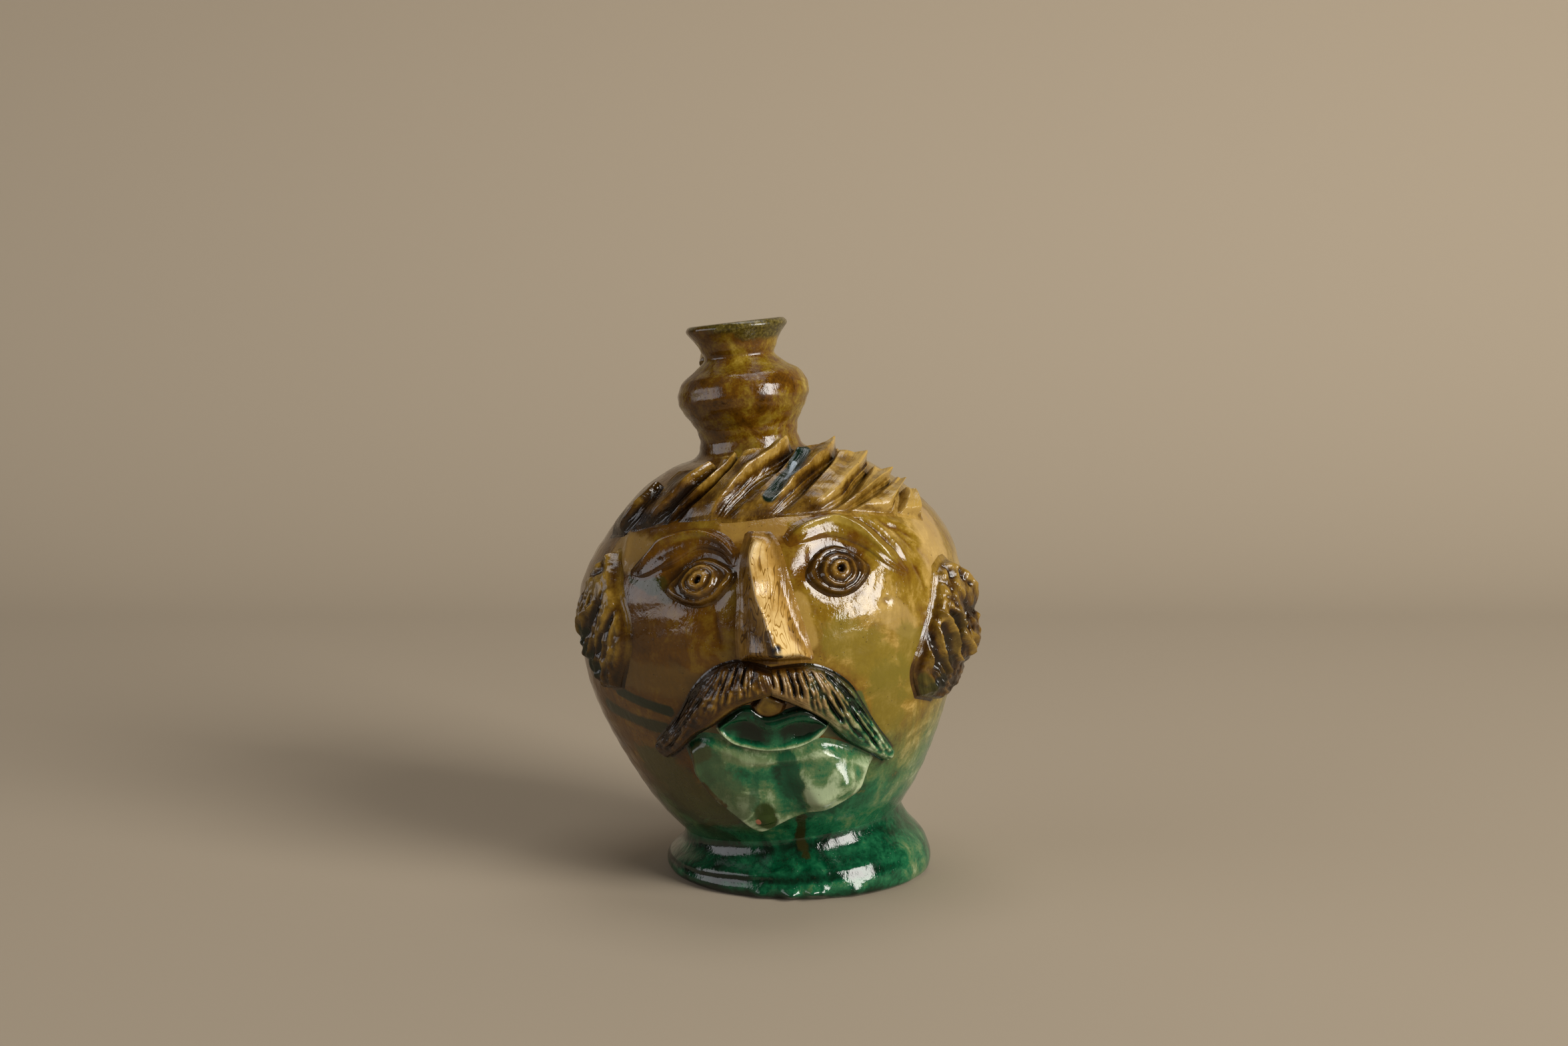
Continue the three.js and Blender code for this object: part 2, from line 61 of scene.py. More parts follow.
SEED_STEP = 31.7  # how far apart two noise patterns begin, in cells
MIXERS = np.array([374761393, 668265263, 1274126177])  # large primes that scramble a cell's place
WORD = 0xFFFFFFFF

Array = np.ndarray
Place = tuple[float, float]
Point = tuple[float, float, float]
Colour = tuple[float, float, float]


def catmull(points: Sequence, t: Array) -> Array:
    """Points on a smooth curve through given ones.

    Args:
        points: The points that the curve passes through.
        t: Where on the curve, 0 to 1, each given point a like step apart.

    Returns:
        The curve's points, with t's shape and one axis more.
    """
    p = np.asarray(points, float)
    last = len(p) - 1
    at = np.clip(np.asarray(t, float), 0, 1) * last
    i = np.minimum(at.astype(int), last - 1)
    w = (at - i)[..., None]
    before, here, after, beyond = (p[np.clip(i + k, 0, last)] for k in (-1, 0, 1, 2))
    pull_here, pull_after = (after - before) / 2, (beyond - here) / 2
    cubic = 2 * here - 2 * after + pull_here + pull_after
    square = 3 * after - 3 * here - 2 * pull_here - pull_after
    return ((cubic * w + square) * w + pull_here) * w + here


def clay_noise(spots: Array, size: float, seed: int = 0) -> Array:
    """Smooth noise from -1 to 1.

    Args:
        spots: Points in millimetres, any shape ending in 3.
        size: How large its features are.
        seed: Which of many patterns.

    Returns:
        The noise at each point.
    """
    cell = np.asarray(spots, float) / size + SEED_STEP * seed
    whole = np.floor(cell).astype(np.int64)
    part = cell - whole
    part = part * part * (3 - 2 * part)
    total = np.zeros(cell.shape[:-1])
    for corner in itertools.product((0, 1), repeat=3):
        mixed = ((whole + corner) @ MIXERS) & WORD
        mixed = ((mixed ^ (mixed >> 13)) * MIXERS[2]) & WORD
        value = ((mixed ^ (mixed >> 16)) & 0xFFFF) / 32767.5 - 1
        total += value * np.prod(np.where(corner, part, 1 - part), axis=-1)
    return total


def ease(value: Array, low: float, high: float) -> Array:
    """A smooth step from 0 at low to 1 at high, which may be the lower number."""
    t = np.clip((np.asarray(value, float) - low) / (high - low), 0, 1)
    return t * t * (3 - 2 * t)


def crowded(steps: int) -> Array:
    """Shares from 0 to 1 that crowd towards both ends."""
    return (1 - np.cos(math.pi * np.arange(steps + 1) / steps)) / 2


def swell(share: Array, power: float = 0.6) -> Array:
    """A rounded swell across a share from 0 to 1, flatter on top where the power is low."""
    return np.sin(math.pi * np.clip(share, 0, 1)) ** power


def bell(value: Array, width: float) -> Array:
    """A smooth hump round zero."""
    return np.exp(-((np.asarray(value) / width) ** 2))


def curve(stops: Sequence[Place], value: Array) -> Array:
    """A smooth curve through stops, each a place and the height there."""
    fine = catmull(stops, np.linspace(0, 1, 240))
    return np.interp(value, fine[:, 0], fine[:, 1])


def blurred(grid: Array, passes: int) -> Array:
    """A grid with each value drawn towards its neighbours.

    Args:
        grid: Values in rows and columns.
        passes: How many times.

    Returns:
        The smoother grid.
    """
    out = grid
    for _ in range(passes):
        for axis in (0, 1):
            before = np.take(out, np.clip(np.arange(out.shape[axis]) - 1, 0, None), axis)
            after = np.take(out, np.clip(np.arange(out.shape[axis]) + 1, None, out.shape[axis] - 1), axis)
            out = (before + 2 * out + after) / 4
    return out


def nearest(spots: Array, chain: Array) -> tuple[Array, Array]:
    """How far each point is from a chain of points, and where along it.

    Args:
        spots: Points, any shape ending in 3.
        chain: The chain's points, in order.

    Returns:
        The least distances, and the shares of the chain's length where they lie.
    """
    flat = spots.reshape(-1, 3)
    run = np.diff(chain, axis=0)
    length = np.linalg.norm(run, axis=1)
    before = np.concatenate([[0], np.cumsum(length)])
    gaps, places = np.empty(len(flat)), np.empty(len(flat))
    for start in range(0, len(flat), 4000):
        away = flat[start : start + 4000, None] - chain[:-1]
        part = np.clip((away * run).sum(-1) / np.maximum(length**2, 1e-9), 0, 1)
        gap = np.linalg.norm(away - part[..., None] * run, axis=-1)
        pick = gap.argmin(1)
        rows = np.arange(len(pick))
        gaps[start : start + 4000] = gap[rows, pick]
        places[start : start + 4000] = (before[pick] + part[rows, pick] * length[pick]) / before[-1]
    return gaps.reshape(spots.shape[:-1]), places.reshape(spots.shape[:-1])


@dataclass(frozen=True)
class Cut:
    """A line drawn in the clay: a groove where its height is negative, a ridge where it is positive."""

    path: tuple[Place, ...]
    width: float
    height: float
    fade: float = 0.3  # share of its length over which each end dies away

    def lift(self, pot: "Pot", ground: Array) -> Array:
        """How far the line moves the clay at points of the thrown surface.

        Args:
            pot: The head.
            ground: The points.

        Returns:
            The lift at each point.
        """
        line = pot.spot(*catmull(self.path, np.linspace(0, 1, 28)).T)
        gap, along = nearest(ground, line)
        strength = ease(along, -0.04, self.fade) * ease(along, 1.04, 1 - self.fade)
        return self.height * strength * np.exp(-((gap / self.width) ** 1.5))


@dataclass(frozen=True)
class Pot:
    """The thrown head as a surface: its outline, its lean and how the thumbs left it."""

    lean: float = 6.6
    base: float = 17.3
    height: float = 135.2
    gap: float = 0.3  # between thrown pieces
    waist_radius: float = 38.4
    widest: float = 69.8
    shoulder: float = 20.0
    lower_shares: tuple[Place, ...] = (
        (0, 0), (0.022, 0.057), (0.059, 0.185), (0.096, 0.299), (0.14, 0.411), (0.2, 0.541), (0.273, 0.682),
        (0.362, 0.828), (0.465, 0.955), (0.576, 1),
    )
    upper_shares: tuple[Place, ...] = (
        (0.686, 0.968), (0.745, 0.908), (0.797, 0.819), (0.849, 0.699), (0.9, 0.56), (0.945, 0.406),
        (0.982, 0.205), (1, 0),
    )
    drift_shares: tuple[Place, ...] = (
        (0, 0), (0.36, 0), (0.5, 0.012), (0.686, 0.018), (0.745, 0.024), (0.82, 0.03), (0.87, 0.028),
        (0.94, 0.014), (1, 0),
    )
    unevenness: float = 0.32  # how far hand throwing strays
    ring_pitch: float = 6.5  # between the marks that the fingers left
    ring_depth: float = 0.05
    # place, lift, breadth and tallness of two spots that the thumbs moved
    dents: tuple = (((-14.5, 0.6), -0.9, 5.5, 15), ((30, 0.62), 0.7, 17, 13))

    @property
    def top(self) -> float:
        """Height at which the neck begins, before the jug leans."""
        return self.base + self.height + self.gap

    @cached_property
    def outline(self) -> Array:
        """Radius and height share at many points from the waist to the shoulder.

        Returns:
            Rows of radius and share.
        """
        below, above = self.widest - self.waist_radius, self.widest - self.shoulder
        lower = [(self.waist_radius + part * below, rise) for rise, part in self.lower_shares]
        upper = [(self.shoulder + part * above, rise) for rise, part in self.upper_shares]
        return catmull(lower + upper, np.linspace(0, 1, 900))

    @cached_property
    def slopes(self) -> tuple[Array, Array, Array]:
        """Slopes and lengths along the outline.

        Returns:
            The part of a lift that goes out, the part that goes up, and the lengths.
        """
        run = np.gradient(self.outline * (1, self.height), axis=0)
        step = np.hypot(*run.T)
        return run[:, 1] / step, -run[:, 0] / step, np.cumsum(step) - step[0]

    def radius(self, share: Array) -> Array:
        """The thrown radius at a height share."""
        return np.interp(share, self.outline[:, 1], self.outline[:, 0])

    def girth_at(self, share: Array) -> Array:
        """Length along the outline from the waist."""
        return np.interp(share, self.outline[:, 1], self.slopes[2])

    def stretch(self, share: Array) -> Array:
        """Length along the outline for one whole share of height."""
        return (self.girth_at(share + 0.004) - self.girth_at(share - 0.004)) / 0.008

    def drift(self, share: Array) -> Array:
        """How far the belly's middle wanders to the viewer's right."""
        return self.widest * np.interp(share, *zip(*self.drift_shares))

    def spot(self, azimuth: Array, share: Array, lift: Array = 0) -> Array:
        """Points on the head, before it leans.

        Args:
            azimuth: Degrees round the axis.
            share: Share of the belly's height.
            lift: How far out from the thrown surface.

        Returns:
            The points in millimetres.
        """
        heights = self.outline[:, 1]
        turn = np.radians(azimuth)
        reach = self.radius(share) + lift * np.interp(share, heights, self.slopes[0])
        rise = self.base + np.asarray(share) * self.height + lift * np.interp(share, heights, self.slopes[1])
        return np.stack([self.drift(share) + reach * np.sin(turn), -reach * np.cos(turn), rise], -1)

    def leant(self, spots: Array) -> Array:
        """Leans points with the jug.

        Args:
            spots: Points of the upright jug.

        Returns:
            The same points on the leaning one.
        """
        turn = math.radians(self.lean)
        x, y, z = np.moveaxis(np.asarray(spots, float), -1, 0)
        right = x * math.cos(turn) - z * math.sin(turn)
        up = x * math.sin(turn) + z * math.cos(turn)
        return np.stack([right, y, up], -1)

    def mark(self, place: Place, lift: float = 0) -> Point:
        """One place on the leaning head, in millimetres, for a mark in the glaze."""
        return tuple(float(c) for c in self.leant(self.spot(place[0], place[1], lift)))

    def away(self, azimuth: Array, share: Array, centre: Place) -> tuple[Array, Array]:
        """Millimetres to the right of and above a centre, measured over the surface."""
        right = np.radians(np.asarray(azimuth) - centre[0]) * self.radius(centre[1])
        return right, self.girth_at(share) - self.girth_at(centre[1])

    def modelled(self, azimuth: Array, share: Array) -> Array:
        """How far the soft clay was moved from its thrown surface.

        Args:
            azimuth: Degrees round the axis.
            share: Share of the belly's height.

        Returns:
            The lift at each place.
        """
        spots = self.spot(azimuth, share)
        stray = clay_noise(spots, 34, 1) + 0.35 * clay_noise(spots, 13, 2)
        rings = np.sin(2 * math.pi * (spots[..., 2] / self.ring_pitch + 0.4 * clay_noise(spots, 40, 3)))
        lift = self.unevenness * stray + self.ring_depth * rings
        for eye in EYES:
            lift = lift + eye.socket(self, azimuth, share)
        for centre, height, broad, tall in self.dents:
            right, up = self.away(azimuth, share, centre)
            lift = lift + height * bell(right, broad) * bell(up, tall)
        return lift


@dataclass(frozen=True)
class Eye:
    """A pellet eye with stamped rings, seated in a socket that the thumb pressed."""

    name: str
    centre: Place
    width: float
    tall: float
    socket_depth: float
    lid: float  # how far the lower lid swells
    almond: float  # how much longer the lid is at its corners
    slant: float  # degrees
    offset: float  # degrees towards which its rings lie closer
    profile: tuple[Place, ...] = (
        (0, 2.3), (0.06, 2.4), (0.1, 2.9), (0.15, 4.2), (0.2, 4.7), (0.28, 4.65), (0.36, 4.1), (0.42, 3.75),
        (0.47, 3.75), (0.53, 4.0), (0.59, 3.9), (0.65, 3.3), (0.71, 2.7), (0.78, 2.55), (0.85, 2.75),
        (0.91, 2.4), (0.97, 1.5), (1.03, 0.8), (1.1, 0.35), (1.2, 0),
    )
    pools: tuple[Place, ...] = (
        (0, 1.1), (0.09, 1.1), (0.14, 0.1), (0.24, -0.45), (0.33, 0.0), (0.41, 0.7), (0.47, 0.4),
        (0.55, -0.15), (0.63, 0.2), (0.72, 0.7), (0.8, 0.5), (0.87, 0.05), (1.0, 0.5), (1.2, 0.4),
    )
    rings: int = 72
    sides: int = 120
    bed: float = 1.4  # how far it is pressed into the head

    def socket(self, pot: Pot, azimuth: Array, share: Array) -> Array:
        """The hollow round the eye, deepest above it, and the lower lid.

        Args:
            pot: The head.
            azimuth: Degrees round the axis.
            share: Share of the belly's height.

        Returns:
            The lift at each place.
        """
        right, up = pot.away(azimuth, share, self.centre)
        out = np.hypot(right / (self.width / 2), up / (self.tall / 2))
        above = ease(up, -self.tall / 4, self.tall / 3)
        hollow = self.socket_depth * ease(out, 1.95, 1.05) * (0.35 + 0.65 * above)
        return self.lid * bell(out - 1.38, 0.22) * (1 - above) - hollow

    def shape(self, pot: Pot) -> tuple[Array, list, dict[str, Array]]:
        """The eye's points, faces and mesh attributes.

        Args:
            pot: The head that it sits on.

        Returns:
            Points in millimetres before the lean, faces and attributes.
        """
        share_out = np.linspace(0, 1.2, self.rings)[1:]
        turn = np.arange(self.sides) * 2 * math.pi / self.sides
        out, turn = np.meshgrid(share_out, turn, indexing="ij")
        circle = np.stack([np.cos(turn), np.sin(turn), 0 * turn], -1)
        wobble = 0.05 * clay_noise(circle * 9 + 3 * out[..., None], 6, 7)
        wobble = wobble + 0.02 * clay_noise(circle * 9, 2, 8)
        wobble = wobble + 0.05 * np.cos(turn - math.radians(self.offset)) * bell(out - 0.5, 0.28)
        corner = np.abs(np.cos(turn - math.radians(self.slant))) ** 7
        longer = 1 + self.almond * ease(out, 0.62, 0.95) * corner
        right = out * np.cos(turn) * self.width / 2 * longer
        up = out * np.sin(turn) * self.tall / 2
        azimuth = self.centre[0] + np.degrees(right / pot.radius(self.centre[1]))
        share = self.centre[1] + up / pot.stretch(self.centre[1])
        profile = np.array(self.profile)
        fine = catmull(profile, np.linspace(0, 1, 300))
        rise = np.interp(out + wobble * ease(out, 0, 0.4), fine[:, 0], fine[:, 1])
        bed = pot.modelled(azimuth, share)
        sunk = ease(out, 1.08, 1.2)
        top = pot.spot(azimuth, share, bed + rise - 0.4 * sunk)
        rough = 0.16 * clay_noise(top, 2.4, 5) + 0.08 * clay_noise(top, 1.1, 6)
        top = top + (rough * (1 - sunk))[..., None] * (0, -1, 0.3)
        back = pot.spot(azimuth, share, bed - self.bed)
        centre_bed = pot.modelled(self.centre[0], self.centre[1])
        ends = pot.spot(self.centre[0], self.centre[1], centre_bed + np.array([profile[0, 1], -self.bed]))
        points = np.concatenate([ends, top.reshape(-1, 3), back.reshape(-1, 3)])
        faces = disc_faces(self.rings - 1, self.sides)
        hollow = np.interp(out + wobble, *zip(*self.pools))
        pool = np.concatenate([[1, 0], hollow.ravel(), np.zeros(hollow.size)])
        grain = np.stack([right, up, rise], -1).reshape(-1, 3)
        grain = np.concatenate([ends * 0, grain, grain * 0])
        return points, faces, {POOL: pool, GRAIN: grain}


EYES = (
    Eye("eye_left", (-19.3, 0.73), 18.0, 16.2, 2.6, 0.35, 0.3, 17, 250),
    Eye("eye_right", (21.4, 0.72), 18.2, 16.6, 2.2, 0.35, 0.16, -5, 60),
)


def disc_faces(rings: int, sides: int) -> list:
    """Faces of a closed disc. Points 0 and 1 are the middles of its top and back, then come the rings.

    Args:
        rings: How many rings the top has, and the back too.
        sides: Points in a ring.

    Returns:
        Point numbers of each face.
    """
    ring = np.arange(rings * sides).reshape(rings, sides)
    top, back = ring + 2, ring + 2 + rings * sides
    faces = [[0, top[0, i], top[0, (i + 1) % sides]] for i in range(sides)]
    faces += [[1, back[0, (i + 1) % sides], back[0, i]] for i in range(sides)]
    for i in range(sides):
        j = (i + 1) % sides
        faces += [[top[k, i], top[k + 1, i], top[k + 1, j], top[k, j]] for k in range(rings - 1)]
        faces += [[back[k, j], back[k + 1, j], back[k + 1, i], back[k, i]] for k in range(rings - 1)]
        faces.append([top[-1, i], back[-1, i], back[-1, j], top[-1, j]])
    return faces


class SlabPoints(NamedTuple):
    """Where the points of a pressed piece are."""

    along: Array  # share of the way from its start to its end
    across: Array  # share of the way from its near edge to its far one
    inset: Array  # distance from its rim
    ground: Array  # the points of the head below it


@dataclass
class Slab:
    """Clay pressed on the head between two edges, with a rounded rim and slip in the corner below it."""

    near: Sequence[Place]
    far: Sequence[Place]
    steps: tuple[int, int]
    relief: Callable[[SlabPoints], Array]
    rim: float = 2.0  # radius of its rounded rim
    # how far it is smoothed down at the near edge, the far edge, the start and the end
    soft: tuple[float, float, float, float] = (0, 0, 0, 0)
    slip_width: float = 1.5
    slip_height: float = 0.5
    bed: float = 1.2  # how far it is pressed into the head
    cavity: float = 0.5  # depth of a hollow that holds a full pool
    edge_pool: float = 0.35
    spread: float = 1.4  # how wide a hollow gathers glaze
    thinnest: float = -0.45  # how thin glaze gets on a crest
    butt: bool = False  # whether its start stands up against a neighbour
    thicker: Callable[[SlabPoints], Array] | None = None  # how much thicker glaze lies in places; on the nose and chin it also carries painted shade and highlight
    cuts: tuple[Cut, ...] = ()

    def shape(self, pot: Pot) -> tuple[Array, list, dict[str, Array]]:
        """The piece's points, faces and mesh attributes.

        Args:
            pot: The head that it is pressed on.

        Returns:
            Points in millimetres before the lean, faces and attributes.
        """
        along, across = crowded(self.steps[0]), crowded(self.steps[1])
        near, far = catmull(self.near, along), catmull(self.far, along)
        places = near[:, None] + (far - near)[:, None] * across[None, :, None]
        azimuth, share = places[..., 0], places[..., 1]
        bed = pot.modelled(azimuth, share)
        ground, thrown = pot.spot(azimuth, share, bed), pot.spot(azimuth, share)
        count = np.arange(ground[..., 0].size).reshape(ground.shape[:2])
        loop = np.concatenate([count[0], count[1:, -1], count[-1, -2::-1], count[-2:0:-1, 0]])
        rim = np.append(loop[len(across) - 1 if self.butt else 0 :], loop[0])
        inset = nearest(ground, ground.reshape(-1, 3)[rim])[0]
        t, s = np.meshgrid(along, across, indexing="ij")
        at = SlabPoints(t, s, inset, ground)
        relief = self.relief(at) + sum(cut.lift(pot, thrown) for cut in self.cuts)
        soft = self.softness(t, s)
        rise = self.slip_height + (relief - self.slip_height) * self.rounding(soft, inset)
        top = pot.spot(azimuth, share, bed + rise)
        rings = self.skirt(pot, places.reshape(-1, 2)[loop])
        points = [top.reshape(-1, 3), *(pot.spot(*ring) for ring in rings)]
        under = places.reshape(-1, 2)[loop]
        points.append(pot.spot(under[:, 0], under[:, 1], bed.ravel()[loop] - self.bed))
        faces = self.faces(count, loop, len(rings))
        length = np.concatenate([[0], np.cumsum(np.linalg.norm(np.diff(ground.mean(1), axis=0), axis=1))])
        breadth = np.linalg.norm(ground[:, -1] - ground[:, 0], axis=1)
        lengthwise = np.broadcast_to(length[:, None], t.shape)
        grain = np.stack([lengthwise, breadth[:, None] * s, rise], -1).reshape(-1, 3)
        cell = math.sqrt(length[-1] * breadth.mean() / t.size)
        pool = (blurred(rise, round(2 * (self.spread / cell) ** 2)) - rise) / self.cavity
        pool = np.clip(pool, self.thinnest, 1) * ease(inset, -0.9, 1.8)
        pool = (pool + self.edge_pool * bell(inset, 0.9)) * (1 - soft * ease(inset, 4, 0.5))
        pool = (pool + (self.thicker(at) if self.thicker else 0)).ravel()
        slip = 1.2 * self.edge_pool * (1 - soft.ravel()[loop]) + (pool[loop] if self.thicker else 0)
        pool = np.concatenate([pool, np.tile(slip, len(rings)), np.zeros(len(loop))])
        grain = np.concatenate([grain, np.tile(grain[loop], (len(rings) + 1, 1))])
        return np.concatenate(points), faces, {POOL: pool, GRAIN: grain}

    def softness(self, along: Array, across: Array) -> Array:
        """How far each place is smoothed down towards its edge, from 0, plain, to 1.

        Args:
            along: Share from the start to the end.
            across: Share from the near edge to the far one.

        Returns:
            The softness of each place.
        """
        near, far, start, end = self.soft
        soft = near * (1 - across) + far * across
        soft = soft + (start - soft) * ease(along, 0.25, 0.02)
        return soft + (end - soft) * ease(along, 0.75, 0.98)

    def rounding(self, soft: Array, inset: Array) -> Array:
        """How far the clay stands up inside its rim: steep at a plain edge, gentle at a soft one."""
        part = np.clip(inset / (self.rim * (1 + 1.2 * soft)), 0, 1)
        return (1 - soft) * np.sqrt(1 - (1 - part) ** 2) + soft * part * part * (3 - 2 * part)

    def skirt(self, pot: Pot, loop: Array) -> list[tuple[Array, Array, Array]]:
        """Rings of slip round the rim, the last one below the surface.

        Args:
            pot: The head.
            loop: Places round the rim.

        Returns:
            Azimuths, height shares and lifts of each ring.
        """
        radius, stretch = pot.radius(loop[:, 1]), pot.stretch(loop[:, 1])
        flat = np.stack([np.radians(loop[:, 0]) * radius, loop[:, 1] * stretch], -1)
        run = np.roll(flat, -2, 0) - np.roll(flat, 2, 0)
        area = (flat[:, 0] * np.roll(flat[:, 1], -1) - flat[:, 1] * np.roll(flat[:, 0], -1)).sum()
        out = np.stack([run[:, 1], -run[:, 0]], -1) * np.sign(area)
        out = out / np.maximum(np.linalg.norm(out, axis=1, keepdims=True), 1e-9)
        for _ in range(3):
            out = (np.roll(out, 1, 0) + out + np.roll(out, -1, 0)) / 3
        rings = []
        for part in (0.2, 0.45, 0.75, 1.0):
            azimuth = loop[:, 0] + np.degrees(part * self.slip_width * out[:, 0] / radius)
            share = loop[:, 1] + part * self.slip_width * out[:, 1] / stretch
            lift = self.slip_height * (1 - part) ** 2 - 0.35 * part**2
            rings.append((azimuth, share, pot.modelled(azimuth, share) + lift))
        return rings

    @staticmethod
    def faces(count: Array, loop: Array, rings: int) -> list:
        """Faces of the top with its skirt, of the wall below it, and of a plain back from edge to edge.

        Args:
            count: Point numbers of the top, in rows and columns.
            loop: Point numbers round its rim.
            rings: How many rings its skirt has.

        Returns:
            Point numbers of each face.
        """
        corners = [count[:-1, :-1], count[:-1, 1:], count[1:, 1:], count[1:, :-1]]
        quads = [np.stack([c.ravel() for c in corners], -1)]
        inner = loop
        for ring in range(rings + 1):
            outer = count.size + ring * len(loop) + np.arange(len(loop))
            quads.append(np.stack([inner, outer, np.roll(outer, -1), np.roll(inner, -1)], -1))
            inner = outer
        rows, columns = count.shape
        far = inner[columns - 1 : columns - 1 + rows]
        near = np.append(inner[0], inner[: 2 * columns + rows - 4 : -1])
        quads.append(np.stack([near[1:-2], near[2:-1], far[2:-1], far[1:-2]], -1))
        start = [*inner[:columns], far[1], near[1]][::-1]
        end = [*inner[columns + rows - 2 : 2 * columns + rows - 2], near[-2], far[-2]][::-1]
        return [*np.concatenate(quads).tolist(), [int(i) for i in start], [int(i) for i in end]]


def ring_faces(rings: int, sides: int, capped: bool = False) -> list:
    """Faces of a wall through rings of points.

    Args:
        rings: How many rings.
        sides: Points in a ring.
        capped: Whether one face fills each end. If not, the last ring joins the first.

    Returns:
        Point numbers of each face.
    """
    grid = np.arange(rings * sides).reshape(rings, sides)
    low, high = (grid[:-1], grid[1:]) if capped else (grid, np.roll(grid, -1, 0))
    wall = np.stack([low, np.roll(low, -1, 1), np.roll(high, -1, 1), high], -1).reshape(-1, 4).tolist()
    return wall + ([grid[0, ::-1].tolist(), grid[-1].tolist()] if capped else [])


def clay_piece(name: str, points: Array, faces: list, attributes: dict[str, Array]) -> bpy.types.Object:
    """A mesh object for one piece, faces turned outward, riding on the jug.

    Args:
        name: The piece's name, which is its CAD node's too.
        points: Points in millimetres where they are on the jug.
        faces: Point numbers of each face.
        attributes: Values at each point, by attribute name.

    Returns:
        The object, which stands for the CAD node.
    """
    mesh = bpy.data.meshes.new(name)
    triangles = np.array([(f[0], f[i], f[i + 1]) for f in faces for i in range(1, len(f) - 1)])
    a, b, c = (points[triangles[:, i]] for i in range(3))
    if (a * np.cross(b, c)).sum() < 0:
        faces = [f[::-1] for f in faces]
    mesh.from_pydata((points * MM).tolist(), [], faces)
    mesh.shade_smooth()
    for key, values in attributes.items():
        kind = "FLOAT" if values.ndim == 1 else "FLOAT_VECTOR"
        data = mesh.attributes.new(key, kind, "POINT").data
        data.foreach_set("value" if values.ndim == 1 else "vector", values.astype(np.float32).ravel())
    piece = bpy.data.objects.new(name + "_clay", mesh)
    bpy.context.scene.collection.objects.link(piece)
    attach(piece, BODY)
    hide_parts(name)
    LOG.info("%s: %d points, %d faces", piece.name, len(points), len(faces))
    return piece


def math_node(operation: str, turned: bool = False) -> Callable[["Value", object], "Value"]:
    """An operator of Value.

    Args:
        operation: What its Math node does.
        turned: Whether the other value comes first.

    Returns:
        The operator.
    """

    def apply(value: "Value", other: object) -> "Value":
        """Adds the node on two values."""
        a, b = (other, value) if turned else (value, other)
        return value.paint.node("Math", {"operation": operation}, {0: a, 1: b})

    return apply


@dataclass
class Value:
    """A node's output on which arithmetic adds Math nodes. | takes the larger value and & the smaller."""

    paint: "Paint"
    socket: bpy.types.NodeSocket

    __add__ = __radd__ = math_node("ADD")
    __mul__ = __rmul__ = math_node("MULTIPLY")
    __sub__, __rsub__ = math_node("SUBTRACT"), math_node("SUBTRACT", turned=True)
    __or__, __and__ = math_node("MAXIMUM"), math_node("MINIMUM")


